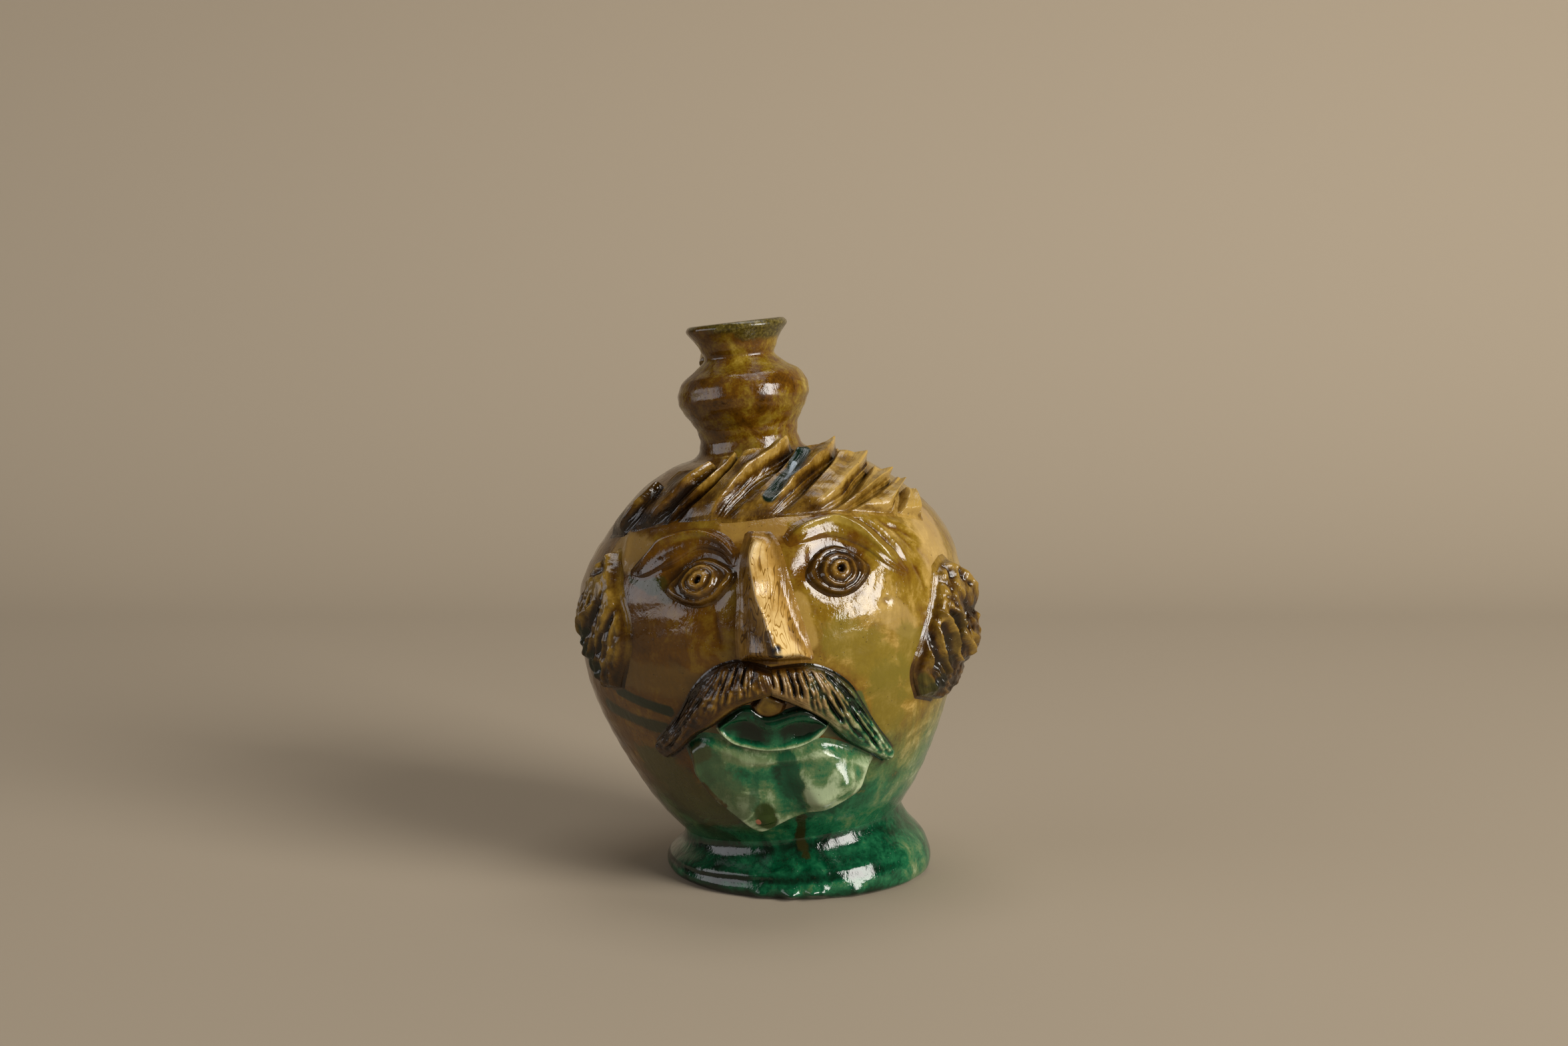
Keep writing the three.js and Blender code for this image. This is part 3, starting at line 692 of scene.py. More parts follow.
class Paint:
    """A material's node tree."""

    def __init__(self, name: str) -> None:
        """An empty tree in a new material.

        Args:
            name: The material's name.
        """
        self.material = bpy.data.materials.new(name)
        self.material.use_nodes = True
        self.tree = self.material.node_tree
        self.tree.nodes.clear()

    def node(self, kind: str, settings: dict | None = None, sockets: dict | None = None,
             take: object = 0) -> Value:
        """Adds a node.

        Args:
            kind: Its type, without ShaderNode.
            settings: Properties, set first. "stops" are a ramp's positions and colours.
            sockets: Values or links of its inputs, by name or number.
            take: Which output to return.

        Returns:
            The chosen output.
        """
        made = self.tree.nodes.new("ShaderNode" + kind)
        for key, value in (settings or {}).items():
            if key == "stops":
                elements = made.color_ramp.elements
                while len(elements) < len(value):
                    elements.new(1)
                for element, (position, colour) in zip(elements, value):
                    element.position, element.color = position, (*colour, 1)
            else:
                setattr(made, key, value)
        for key, value in (sockets or {}).items():
            if isinstance(value, Value):
                self.tree.links.new(value.socket, made.inputs[key])
            else:
                made.inputs[key].default_value = value
        return Value(self, made.outputs[take] if made.outputs else None)

    def millimetres(self) -> Value:
        """Places on the jug in millimetres."""
        place = self.node("TexCoord", take="Object")
        return self.node("VectorMath", {"operation": "SCALE"}, {0: place, "Scale": 1 / MM})

    def attribute(self, name: str, take: str = "Fac") -> Value:
        """A value that the mesh carries."""
        return self.node("Attribute", {"attribute_name": name}, take=take)

    def stretched(self, place: Value, factors: Point) -> Value:
        """Places times a factor on each axis."""
        return self.node("VectorMath", {"operation": "MULTIPLY"}, {0: place, 1: factors})

    def noise(self, place: Value, size: float, detail: float = 2, rough: float = 0.5,
              warp: float = 0) -> Value:
        """Noise round 0.5 with features of a size in millimetres."""
        sockets = {"Vector": place, "Scale": 1 / size, "Detail": detail, "Roughness": rough,
                   "Distortion": warp}
        return self.node("TexNoise", {}, sockets, "Fac")

    def dots(self, place: Value, per_mm: float) -> Value:
        """How far the nearest of scattered dots is, in steps of their spacing."""
        return self.node("TexVoronoi", {"feature": "F1"}, {"Vector": place, "Scale": per_mm}, "Distance")

    def eased(self, value: Value, low: float, high: float, least: float = 0, most: float = 1) -> Value:
        """A smooth step from least at low to most at high."""
        sockets = {"Value": value, "From Min": low, "From Max": high, "To Min": least, "To Max": most}
        return self.node("MapRange", {"interpolation_type": "SMOOTHSTEP"}, sockets)

    def axis(self, place: Value, which: str) -> Value:
        """One coordinate of places."""
        return self.node("SeparateXYZ", {}, {0: place}, which)

    def ramp(self, value: Value, stops: Sequence) -> Value:
        """Colours by value, through stops."""
        return self.node("ValToRGB", {"stops": stops}, {0: value}, "Color")

    def blend(self, factor: object, a: object, b: object, how: str = "MIX") -> Value:
        """Colour a, turned into b by the factor."""
        full = {key: (*value, 1) if isinstance(value, tuple) else value for key, value in ((6, a), (7, b))}
        return self.node("Mix", {"data_type": "RGBA", "blend_type": how}, {0: factor, **full}, 2)

    def stroke(self, place: Value, start: Point, end: Point, width: float) -> Value:
        """A soft mark along a line between two points, 1 in its middle and 0 at its width.

        Args:
            place: Places on the jug.
            start: One end of the line.
            end: The other end.
            width: Distance at which the mark ends.

        Returns:
            The strength of the mark.
        """
        run = Vector(end) - Vector(start)
        away = self.node("VectorMath", {"operation": "SUBTRACT"}, {0: place, 1: start})
        dot = self.node("VectorMath", {"operation": "DOT_PRODUCT"}, {0: away, 1: tuple(run)}, "Value")
        part = self.node("Math", {"operation": "DIVIDE", "use_clamp": True}, {0: dot, 1: run.length_squared})
        along = self.node("VectorMath", {"operation": "SCALE"}, {0: tuple(run), "Scale": part})
        gap = self.node("VectorMath", {"operation": "DISTANCE"}, {0: away, 1: along}, "Value")
        return self.eased(gap, width, 0)


class Flow(Enum):
    """How the glaze ran on a piece."""

    CLOUDS = "clouds"
    LINES = "lines"


@dataclass(frozen=True)
class Mark:
    """A run or spot of other glaze; a few are painted highlights, reflections or shade instead, as noted
    where they stand.
    """

    start: Place
    end: Place
    width: float
    colour: Colour
    strength: float = 1.0
    lift: float = 2.0
    ragged: float = 0.9


@dataclass(frozen=True)
class Glaze:
    """A lead glaze: its colours from thin to pooled, and how it lies."""

    slot: str
    thin: Colour
    honey: Colour
    deep: Colour
    pooled: Colour
    depth: float = 0.42  # how thick it lies on the open surface, 0 thin to 1 pooled
    clouding: float = 0.55
    hollows: float = 0.5  # how much thicker it lies in hollows
    flow: Flow = Flow.CLOUDS
    copper: float = 0.0  # share of copper green everywhere
    green_line: float = 44.0  # height where the green begins
    green_slope: float = 0.28  # how much higher it begins for each millimetre to the right
    green_hollows: float = 0.0  # how much sooner it begins in hollows
    lean: float = 0.0025  # painted light: how much thinner, so lighter, it is painted for each millimetre to the right, towards the lamp; below 0 it is painted darker to the right
    crown: float = 0.0  # height above which an olive band lies on the lip
    rough: tuple[float, float] = (0.045, 0.2)
    combing: float = 0.0  # height of fine grooves along the piece
    sandy: float = 0.0  # how much grit shows
    marks: tuple[Mark, ...] = ()

    def material(self, pot: Pot) -> bpy.types.Material:
        """The glaze as a material.

        Args:
            pot: The head, which places its marks.

        Returns:
            The material.
        """
        paint = Paint(self.slot)
        place = paint.millimetres()
        grain = paint.attribute(GRAIN, "Vector")
        pool = paint.attribute(POOL)
        height, sideways = paint.axis(place, "Z"), paint.axis(place, "X")
        cloud = paint.noise(place, CLOUD_SIZE, 3, 0.5, 1.2)
        patch = paint.noise(place, PATCH_SIZE, 6, 0.66, 0.7)
        run = paint.noise(paint.stretched(place, (1, 1, 0.3)), RUN_SIZE, 4, 0.6, 0.5)
        fine = paint.noise(place, FINE_SIZE, 3, 0.7)
        clouds = 1.0 * (cloud - 0.5) + 1.1 * (patch - 0.5) + 0.5 * (run - 0.5) + 0.35 * (fine - 0.5)
        # the lean term is painted light: lighter to the right, where the lamp stands, darker to the left,
        # where shade falls
        depth = self.depth + self.clouding * clouds + self.hollows * pool - self.lean * sideways
        if self.flow is Flow.LINES:
            depth = depth + self.running(paint, grain)
        if self.sandy:
            grit = paint.noise(place, 0.9, 2, 0.7)
            depth = depth + self.sandy * (grit - 0.5)
        amber = paint.ramp(depth, list(zip(AMBER_DEPTHS, (self.thin, self.honey, self.deep, self.pooled))))
        copper = paint.ramp(depth, COPPER_STOPS)
        tongues = paint.noise(paint.stretched(place, (0.7, 1, 0.3)), TONGUE_SIZE, 5, 0.65, 0.8)
        ragged = TONGUE_REACH * (tongues - 0.5)
        below = self.green_line + self.green_slope * sideways + ragged - height + self.green_hollows * pool
        green = paint.eased(below, -18, 20) | self.copper
        colour = paint.blend(green, amber, copper)
        for mark in self.marks:
            start, end = pot.mark(mark.start, mark.lift), pot.mark(mark.end, mark.lift)
            drawn = paint.stroke(place, start, end, mark.width * 1.6)
            broken = paint.eased(drawn + mark.ragged * (patch - 0.5), 0.25, 0.6)
            colour = paint.blend(broken * mark.strength, colour, mark.colour)
        if self.crown:
            edge = height + 9 * (patch - 0.5) + 0.1 * sideways
            band = paint.eased(edge, self.crown - 1.5, self.crown + 1.5)
            colour = paint.blend(band, colour, paint.ramp(fine, CROWN_STOPS))
        rare = paint.noise(place, 7, 2)
        specks = paint.eased(paint.dots(place, SPECKS_PER_MM), 0.13, 0.05) * paint.eased(rare, 0.42, 0.56)
        colour = paint.blend(specks * 0.8, colour, SPECK)
        pitted = paint.eased(paint.dots(place, PITS_PER_MM), 0.2, 0.06) * paint.eased(rare, 0.5, 0.66)
        dull = paint.eased(paint.noise(place, 9, 6, 0.68, 0.8), 0.5, 0.56)
        rough = self.rough[0] + (self.rough[1] - self.rough[0]) * dull + 0.25 * pitted
        skin = 0.34 * paint.noise(place, 6.5, 3, 0.5, 0.5) + 0.16 * run + 0.06 * fine - 0.06 * pitted
        if self.sandy:
            skin = skin + 0.12 * self.sandy * grit
        if self.combing:
            comb = paint.noise(paint.stretched(grain, (0.07, 1, 0)), 0.8, 3, 0.55, 0.2)
            skin = skin + self.combing * comb
        normal = paint.node("Bump", {}, {"Height": skin, "Distance": MM, "Strength": 1.0})
        shader = paint.node("BsdfPrincipled", {}, {
            "Base Color": colour, "Roughness": rough, "Normal": normal, "IOR": 1.5,
        })
        paint.node("OutputMaterial", {}, {"Surface": shader})
        return paint.material

    @staticmethod
    def running(paint: Paint, grain: Value) -> Value:
        """Thick and thin lines where two glazes ran down together.

        Args:
            paint: The material's tree.
            grain: Places along the piece and across it.

        Returns:
            How much thicker it lies.
        """
        wander = paint.noise(paint.stretched(grain, (0.2, 1, 0.4)), 5, 2, 0.5, 0.8)
        wave = paint.node("Math", {"operation": "SINE"}, {0: wander * LINE_TURN})
        lines = paint.eased(wave, 0.55, 1) * paint.eased(paint.axis(grain, "Z"), 0.4, 1.6)
        broad = paint.noise(paint.stretched(grain, (0.25, 1, 0.4)), 6, 3, 0.6)
        return 0.42 * lines + 0.8 * (broad - 0.5)


# sizes of what shows in every glaze
CLOUD_SIZE, PATCH_SIZE, RUN_SIZE, FINE_SIZE = 34, 10, 4.5, 1.2
TONGUE_SIZE, TONGUE_REACH = 20, 40
SPECKS_PER_MM, PITS_PER_MM = 0.42, 0.9
LINE_TURN = 76  # how fast the lines of two glazes follow each other, in radians
AMBER_DEPTHS = (0.05, 0.35, 0.65, 1)  # where a glaze is thin, honey, deep and pooled
COPPER_STOPS = (
    (0.0, (0.28, 0.34, 0.2)), (0.24, (0.085, 0.14, 0.055)), (0.45, (0.008, 0.09, 0.035)),
    (0.65, (0.001, 0.042, 0.016)), (0.85, (0.0005, 0.016, 0.006)), (1.0, (0.0003, 0.006, 0.002)),
)
CROWN_STOPS = ((0.3, (0.02, 0.012, 0.003)), (0.5, (0.06, 0.045, 0.006)), (0.75, (0.17, 0.13, 0.03)))
SPECK: Colour = (0.025, 0.012, 0.004)
OCHRE: Colour = (0.31, 0.215, 0.035)
HONEY: Colour = (0.18, 0.11, 0.008)
AMBER: Colour = (0.1, 0.04, 0.0015)
RUSSET: Colour = (0.04, 0.0145, 0.001)
TREACLE: Colour = (0.01, 0.004, 0.001)
OLIVE: Colour = (0.02, 0.028, 0.003)
STRIPES_AND_SHEEN = (
    Mark((-52.2, 0.458), (-33.2, 0.41), 2.5, (0.006, 0.012, 0.002), 1.0, 0, 0.4),
    Mark((-62, 0.411), (-36.7, 0.362), 3.0, (0.008, 0.015, 0.003), 0.9, 0, 0.4),
    Mark((10.5, 0.56), (8.6, 0.66), 3.4, (0.33, 0.21, 0.05), 0.7, 0, 1.6),
    # painted sheen: the next two are pale patches on the right temple and cheek, where the lamp's broad
    # reflection falls
    Mark((66, 0.8), (60, 0.69), 10, (0.5, 0.34, 0.13), 0.45, 0, 1.2),
    Mark((34, 0.61), (42, 0.55), 5, (0.38, 0.26, 0.09), 0.45, 0, 1.4),
    Mark((20, 0.56), (36, 0.44), 9, (0.155, 0.115, 0.008), 0.65, 0, 1.6),
    Mark((42, 0.5), (45, 0.4), 8, (0.14, 0.105, 0.008), 0.65, 0, 1.6),
    Mark((34, 0.43), (37, 0.33), 9, (0.13, 0.1, 0.009), 0.7, 0, 1.8),
    Mark((-24, 0.345), (-17, 0.335), 4, (0.08, 0.075, 0.025), 0.8, 0, 1.2),
    Mark((16, 0.33), (22, 0.315), 4, (0.06, 0.08, 0.03), 0.8, 0, 1.2),
    Mark((-50, 0.26), (-32, 0.13), 10, (0.042, 0.042, 0.006), 0.8, 0, 1.8),
    Mark((-55, 0.81), (-42, 0.79), 8, (0.28, 0.17, 0.05), 0.85, 0, 1.2),
    Mark((-10, 0.843), (5, 0.838), 5, (0.3, 0.175, 0.04), 0.6, 0, 1.6),
    Mark((10, 0.858), (36, 0.852), 3.5, (0.3, 0.18, 0.045), 0.5, 0, 1.8),
    Mark((-54, 0.53), (-24, 0.475), 7, (0.14, 0.082, 0.018), 0.5, 0, 1.5),
    Mark((-43.5, 0.748), (-34, 0.722), 3.2, (0.012, 0.024, 0.004), 0.8, 0),
    Mark((-33, 0.73), (-29.5, 0.7), 3.4, OLIVE, 0.6, 0),
    Mark((24.5, 0.4), (28.5, 0.33), 2.2, (0.03, 0.075, 0.02), 0.7, 0),
    Mark((4.6, 0.085), (3.4, 0.02), 2.3, (0.016, 0.014, 0.002), 0.9, 0.5, 1.6),
    Mark((-79.9, 0.392), (-79.5, 0.39), 1.1, (0.01, 0.01, 0.008), 1.0, 0, 0.2),
    Mark((-66.7, 0.292), (-66, 0.29), 1.0, (0.01, 0.01, 0.008), 1.0, 0, 0.2),
)
AMBER_GLAZE = Glaze(
    "amber_glaze", (0.44, 0.29, 0.08), (0.19, 0.112, 0.009), AMBER, RUSSET, depth=0.52, clouding=0.85,
    hollows=0.6, lean=0.003, marks=STRIPES_AND_SHEEN,
)
STRAP_GLAZE = Glaze(
    "brown_glaze", (0.24, 0.14, 0.018), (0.14, 0.075, 0.006), (0.06, 0.025, 0.001), TREACLE, depth=0.46,
    combing=0.25, clouding=1.0, hollows=0.7, lean=0,
)
BROW_GLAZE = Glaze(
    "amber_glaze", OCHRE, HONEY, AMBER, RUSSET, depth=0.66, clouding=0.9, hollows=0.6, lean=0.005,
)
NECK_GLAZE = Glaze(
    "amber_glaze", OCHRE, HONEY, AMBER, RUSSET, depth=0.48, clouding=1.5, sandy=0.4, rough=(0.08, 0.3),
    crown=192,
)
BROWN_GLAZE = Glaze(
    "brown_glaze", (0.16, 0.085, 0.01), (0.085, 0.04, 0.003), RUSSET, TREACLE, depth=0.66, combing=0.3,
    clouding=1.0, hollows=0.7, lean=0,
)
EYE_GLAZE = Glaze(
    "brown_glaze", (0.3, 0.18, 0.05), (0.14, 0.07, 0.008), (0.055, 0.023, 0.002), TREACLE, depth=0.56,
    clouding=0.9, hollows=0.55, lean=-0.003,
)
HAIR_GLAZE = Glaze(
    "hair_glaze", (0.34, 0.215, 0.05), (0.17, 0.09, 0.01), (0.06, 0.025, 0.002), TREACLE, depth=0.49,
    combing=0.25, hollows=0.6, clouding=1.15, lean=0.006,
    marks=(
        Mark((4.5, 0.89), (15.2, 0.933), 3.0, (0.002, 0.009, 0.004), 1.0, 5, 0.3),
        Mark((15.2, 0.933), (29, 0.966), 3.0, (0.002, 0.01, 0.005), 1.0, 6, 0.3),
        # painted reflection: a pale blue streak in the glaze pool, where window light would be mirrored
        Mark((13.5, 0.925), (21, 0.952), 1.0, (0.26, 0.31, 0.36), 0.85, 4.5, 0.2),
        Mark((-54, 0.93), (-30, 0.962), 6.0, (0.035, 0.014, 0.001), 0.65, 4, 1.6),
    ),
)
LEFT_EAR_GLAZE = Glaze(
    "ear_glaze", (0.22, 0.13, 0.02), (0.11, 0.058, 0.005), (0.045, 0.018, 0.001), (0.012, 0.005, 0.001),
    depth=0.52, combing=0.25, hollows=0.5, clouding=1.1, lean=0,
    marks=(
        Mark((-61, 0.62), (-56, 0.52), 3.4, (0.003, 0.012, 0.002), 0.8, 4, 1.2),
        Mark((-62, 0.745), (-64, 0.725), 2.4, (0.02, 0.03, 0.01), 0.6, 4, 1.2),
    ),
)
RIGHT_EAR_GLAZE = replace(
    LEFT_EAR_GLAZE, hollows=0.6,
    marks=(
        Mark((51.9, 0.392), (53, 0.4), 3.4, (0.006, 0.007, 0.006), 1.0, 5, 0.4),
        Mark((60, 0.52), (54, 0.42), 5, (0.01, 0.007, 0.001), 0.6, 4, 1.8),
        Mark((46, 0.41), (50, 0.37), 3.5, (0.06, 0.055, 0.006), 0.6, 4, 1.2),
    ),
)
OCHRE_GLAZE = Glaze(
    "ochre_glaze", (0.56, 0.4, 0.17), (0.33, 0.19, 0.045), (0.17, 0.085, 0.012), (0.06, 0.025, 0.003),
    depth=0.32, clouding=0.5, hollows=0.3, flow=Flow.LINES, rough=(0.07, 0.24), combing=0.2, lean=0,
    marks=(
        Mark((1.0, 0.566), (1.3, 0.545), 2.4, (0.004, 0.005, 0.01), 1.0, 12, 0.4),
        Mark((-0.6, 0.6), (0.2, 0.56), 1.8, RUSSET, 0.8, 12, 1.6),
    ),
)
MOUSTACHE_GLAZE = Glaze(
    "moustache_green_glaze", (0.2, 0.12, 0.04), (0.085, 0.042, 0.006), RUSSET, TREACLE, depth=0.38,
    green_line=60, green_slope=0.8, green_hollows=16, combing=0.3, hollows=0.8, clouding=1.2, lean=0,
)
OVAL_GLAZE = Glaze(
    "amber_glaze", (0.15, 0.09, 0.008), (0.08, 0.04, 0.002), RUSSET, TREACLE, depth=0.5, green_line=20,
    hollows=0.9,
)
GREEN_GLAZE = Glaze(
    "green_glaze", OCHRE, HONEY, AMBER, TREACLE, depth=0.6, copper=1.0, clouding=0.9, hollows=0.5,
    rough=(0.04, 0.12), lean=0.002,
)
FOOT_GLAZE = Glaze(
    "green_glaze", OCHRE, HONEY, AMBER, TREACLE, depth=0.62, copper=1.0, clouding=1.1, hollows=0.6,
    rough=(0.04, 0.14), lean=0.003,
    marks=(
        Mark((3.6, 0.03), (5.2, -0.01), 2.2, (0.016, 0.014, 0.002), 0.85, 1.5, 1.6),
        Mark((5.2, -0.01), (9.5, -0.045), 1.8, (0.016, 0.014, 0.002), 0.8, 3.5, 1.6),
        # painted shade: the next two paint a near-black band low on the left of the foot, away from the lamp
        Mark((-80, -0.1), (-45, -0.1), 4.5, (0.0006, 0.007, 0.003), 0.85, 9, 1.6),
        Mark((-45, -0.1), (-10, -0.11), 4.0, (0.0006, 0.007, 0.003), 0.85, 9.5, 1.6),
    ),
)
MINT_GLAZE = Glaze(
    "mint_glaze", OCHRE, HONEY, AMBER, TREACLE, depth=0.35, copper=1.0, clouding=1.0, lean=0.001,
    marks=(
        Mark((1.2, 0.294), (2.9, 0.2), 3.8, (0.001, 0.045, 0.018), 0.85, 4, 2.2),
        Mark((-8, 0.28), (-11.7, 0.16), 2.2, (0.003, 0.06, 0.024), 0.7, 5, 1.4),
        Mark((-8.2, 0.146), (-7.7, 0.122), 4.2, (0.016, 0.032, 0.003), 1.0, 6, 0.7),
        Mark((-11.2, 0.124), (-11.1, 0.122), 1.0, (0.3, 0.11, 0.06), 1.0, 6, 0.3),
        # painted shade: the chin's left facet is painted a dark olive
        Mark((-24, 0.27), (-17, 0.18), 8, (0.045, 0.065, 0.026), 0.7, 5, 2.2),
        Mark((24, 0.17), (12, 0.14), 2.2, (0.04, 0.045, 0.012), 0.6, 6, 1.6),
        Mark((-16, 0.3), (-6, 0.275), 3, (0.09, 0.12, 0.05), 0.7, 4, 1.6),
        Mark((-24, 0.315), (-29, 0.3), 3.5, (0.035, 0.04, 0.012), 0.8, 4, 1.4),
        Mark((-28.4, 0.3), (-27.2, 0.24), 2.0, (0.035, 0.02, 0.002), 1.0, 3.2, 0.9),
        Mark((-26.6, 0.23), (-21.2, 0.175), 1.8, (0.03, 0.017, 0.002), 0.95, 5.2, 1.0),
    ),
)


@dataclass
class Potter:
    """Keeps the head and the glazes, and turns shapes into dressed pieces."""

    pot: Pot = field(default_factory=Pot)
    mixed: dict[Glaze, bpy.types.Material] = field(default_factory=dict)

    def dressed(self, piece: bpy.types.Object, glaze: Glaze) -> bpy.types.Object:
        """Glazes a piece.

        Args:
            piece: The piece.
            glaze: Its glaze.

        Returns:
            The piece.
        """
        if glaze not in self.mixed:
            self.mixed[glaze] = glaze.material(self.pot)
        piece.data.materials.append(self.mixed[glaze])
        return piece

    def lean(self, name: str, shape: tuple[Array, list, dict], glaze: Glaze) -> bpy.types.Object:
        """A piece from its upright shape, leant with the head and glazed."""
        points, faces, attributes = shape
        return self.dressed(clay_piece(name, self.pot.leant(points), faces, attributes), glaze)

    def press(self, name: str, glaze: Glaze, slab: Slab | Eye) -> bpy.types.Object:
        """A piece pressed on the head."""
        return self.lean(name, slab.shape(self.pot), glaze)


@dataclass
class Foot:
    """The thrown foot: level on the table, leaning into the belly, with drops of glaze at its edge."""

    height: float = 17.0
    radius: float = 48.0
    floor: float = 8.5
    wall: float = 5.0
    middle: float = 1.5  # radius within which one face closes it
    flare_shares: tuple[Place, ...] = (
        (0, 0.72), (0.06, 0.92), (0.2, 1.02), (0.36, 1), (0.5, 0.88), (0.64, 0.66), (0.78, 0.45),
        (0.9, 0.29), (1.02, 0.19), (1.12, 0.165), (1.2, 0.16), (1.27, 0.1), (1.32, 0),
    )
    # azimuth, height, breadth in degrees and lift of each drop of glaze
    drops: tuple = (
        (-3.5, 2.4, 3.2, 3.0), (5.0, 3.0, 2.8, 2.6), (9.5, 2.6, 2.2, 1.6), (-16, 1.8, 3.5, 1.2),
        (24, 2, 3.4, 1.0),
    )
    drop_height: float = 1.7
    groove_height: float = 7.2
    roll_height: float = 10.2
    rows: int = 100
    sides: int = 420

    def make(self, potter: Potter) -> None:
        """Builds and glazes the foot.

        Args:
            potter: Keeps the head and the glazes.
        """
        pot = potter.pot
        flare = self.radius - pot.waist_radius
        skin = [(pot.waist_radius + part * flare, rise * self.height) for rise, part in self.flare_shares]
        skin = catmull(skin, np.linspace(0, 1, self.rows))
        top = [(pot.waist_radius - 1.2, self.height), (pot.waist_radius - self.wall, self.height)]
        bowl = [
            (pot.waist_radius - self.wall * 1.3, self.floor + self.wall / 2),
            (pot.waist_radius - self.wall * 2.2, self.floor), (self.middle, self.floor),
        ]
        under = [(self.middle, 0), (self.radius * 0.5, 0)]
        outline = np.array(under + skin.tolist() + top + bowl)
        turn = np.arange(self.sides) * 2 * math.pi / self.sides
        radius, turn = np.meshgrid(outline[:, 0], turn, indexing="ij")
        rise = np.broadcast_to(outline[:, 1:2], radius.shape)
        spots = np.stack([radius * np.sin(turn), -radius * np.cos(turn), rise], -1)
        outer = np.zeros(len(outline))
        outer[len(under) : len(under) + self.rows] = 1
        outer = outer[:, None] * ease(rise, 0, 0.8)
        azimuth = np.degrees(turn) % 360
        azimuth = np.where(azimuth > 180, azimuth - 360, azimuth)
        stray = 0.75 * clay_noise(spots, 24, 11) + 0.35 * clay_noise(spots, 9, 12)
        uneven = 0.25 + 0.9 * bell(azimuth + 30, 38) + 0.3 * clay_noise(spots * (1, 1, 0), 35, 14)
        groove = -0.55 * uneven * bell(rise - self.groove_height - 1.2 * clay_noise(spots, 30, 13), 1.9)
        roll = 0.5 * bell(rise - self.roll_height - 0.8 * clay_noise(spots, 22, 15), 2.2)
        fade = ease(rise, self.height * 1.2, self.height * 0.9)
        drops = sum(lift * bell(azimuth - place, broad) * bell(rise - height, self.drop_height)
                    for place, height, broad, lift in self.drops)
        lift = outer * fade * (stray + groove + roll + drops)
        spots[..., 0] += lift * np.sin(turn)
        spots[..., 1] -= lift * np.cos(turn)
        tilt = math.radians(pot.lean) * np.minimum(1, spots[..., 2] / self.height)
        x, z = spots[..., 0].copy(), spots[..., 2].copy()
        spots[..., 0] = x * np.cos(tilt) - z * np.sin(tilt)
        spots[..., 2] = x * np.sin(tilt) + z * np.cos(tilt)
        full = 0.5 * bell(rise - self.groove_height, 1.6) + 0.6 * ease(rise, 4, 0.5)
        full = full + 0.5 * bell(rise - self.height, 2.2)
        bare = 0.5 * bell(rise - 10.6, 1.0) + 0.3 * bell(rise - 4.8, 0.9) + 0.5 * ease(azimuth, 25, 60)
        pool = outer * (full - bare)
        grain = np.stack([self.radius * turn, rise, lift], -1)
        attributes = {POOL: np.clip(pool, 0, 1).ravel(), GRAIN: grain.reshape(-1, 3)}
        faces = ring_faces(len(outline), self.sides, capped=True)
        piece = clay_piece("foot", spots.reshape(-1, 3), faces, attributes)
        potter.dressed(piece, FOOT_GLAZE)


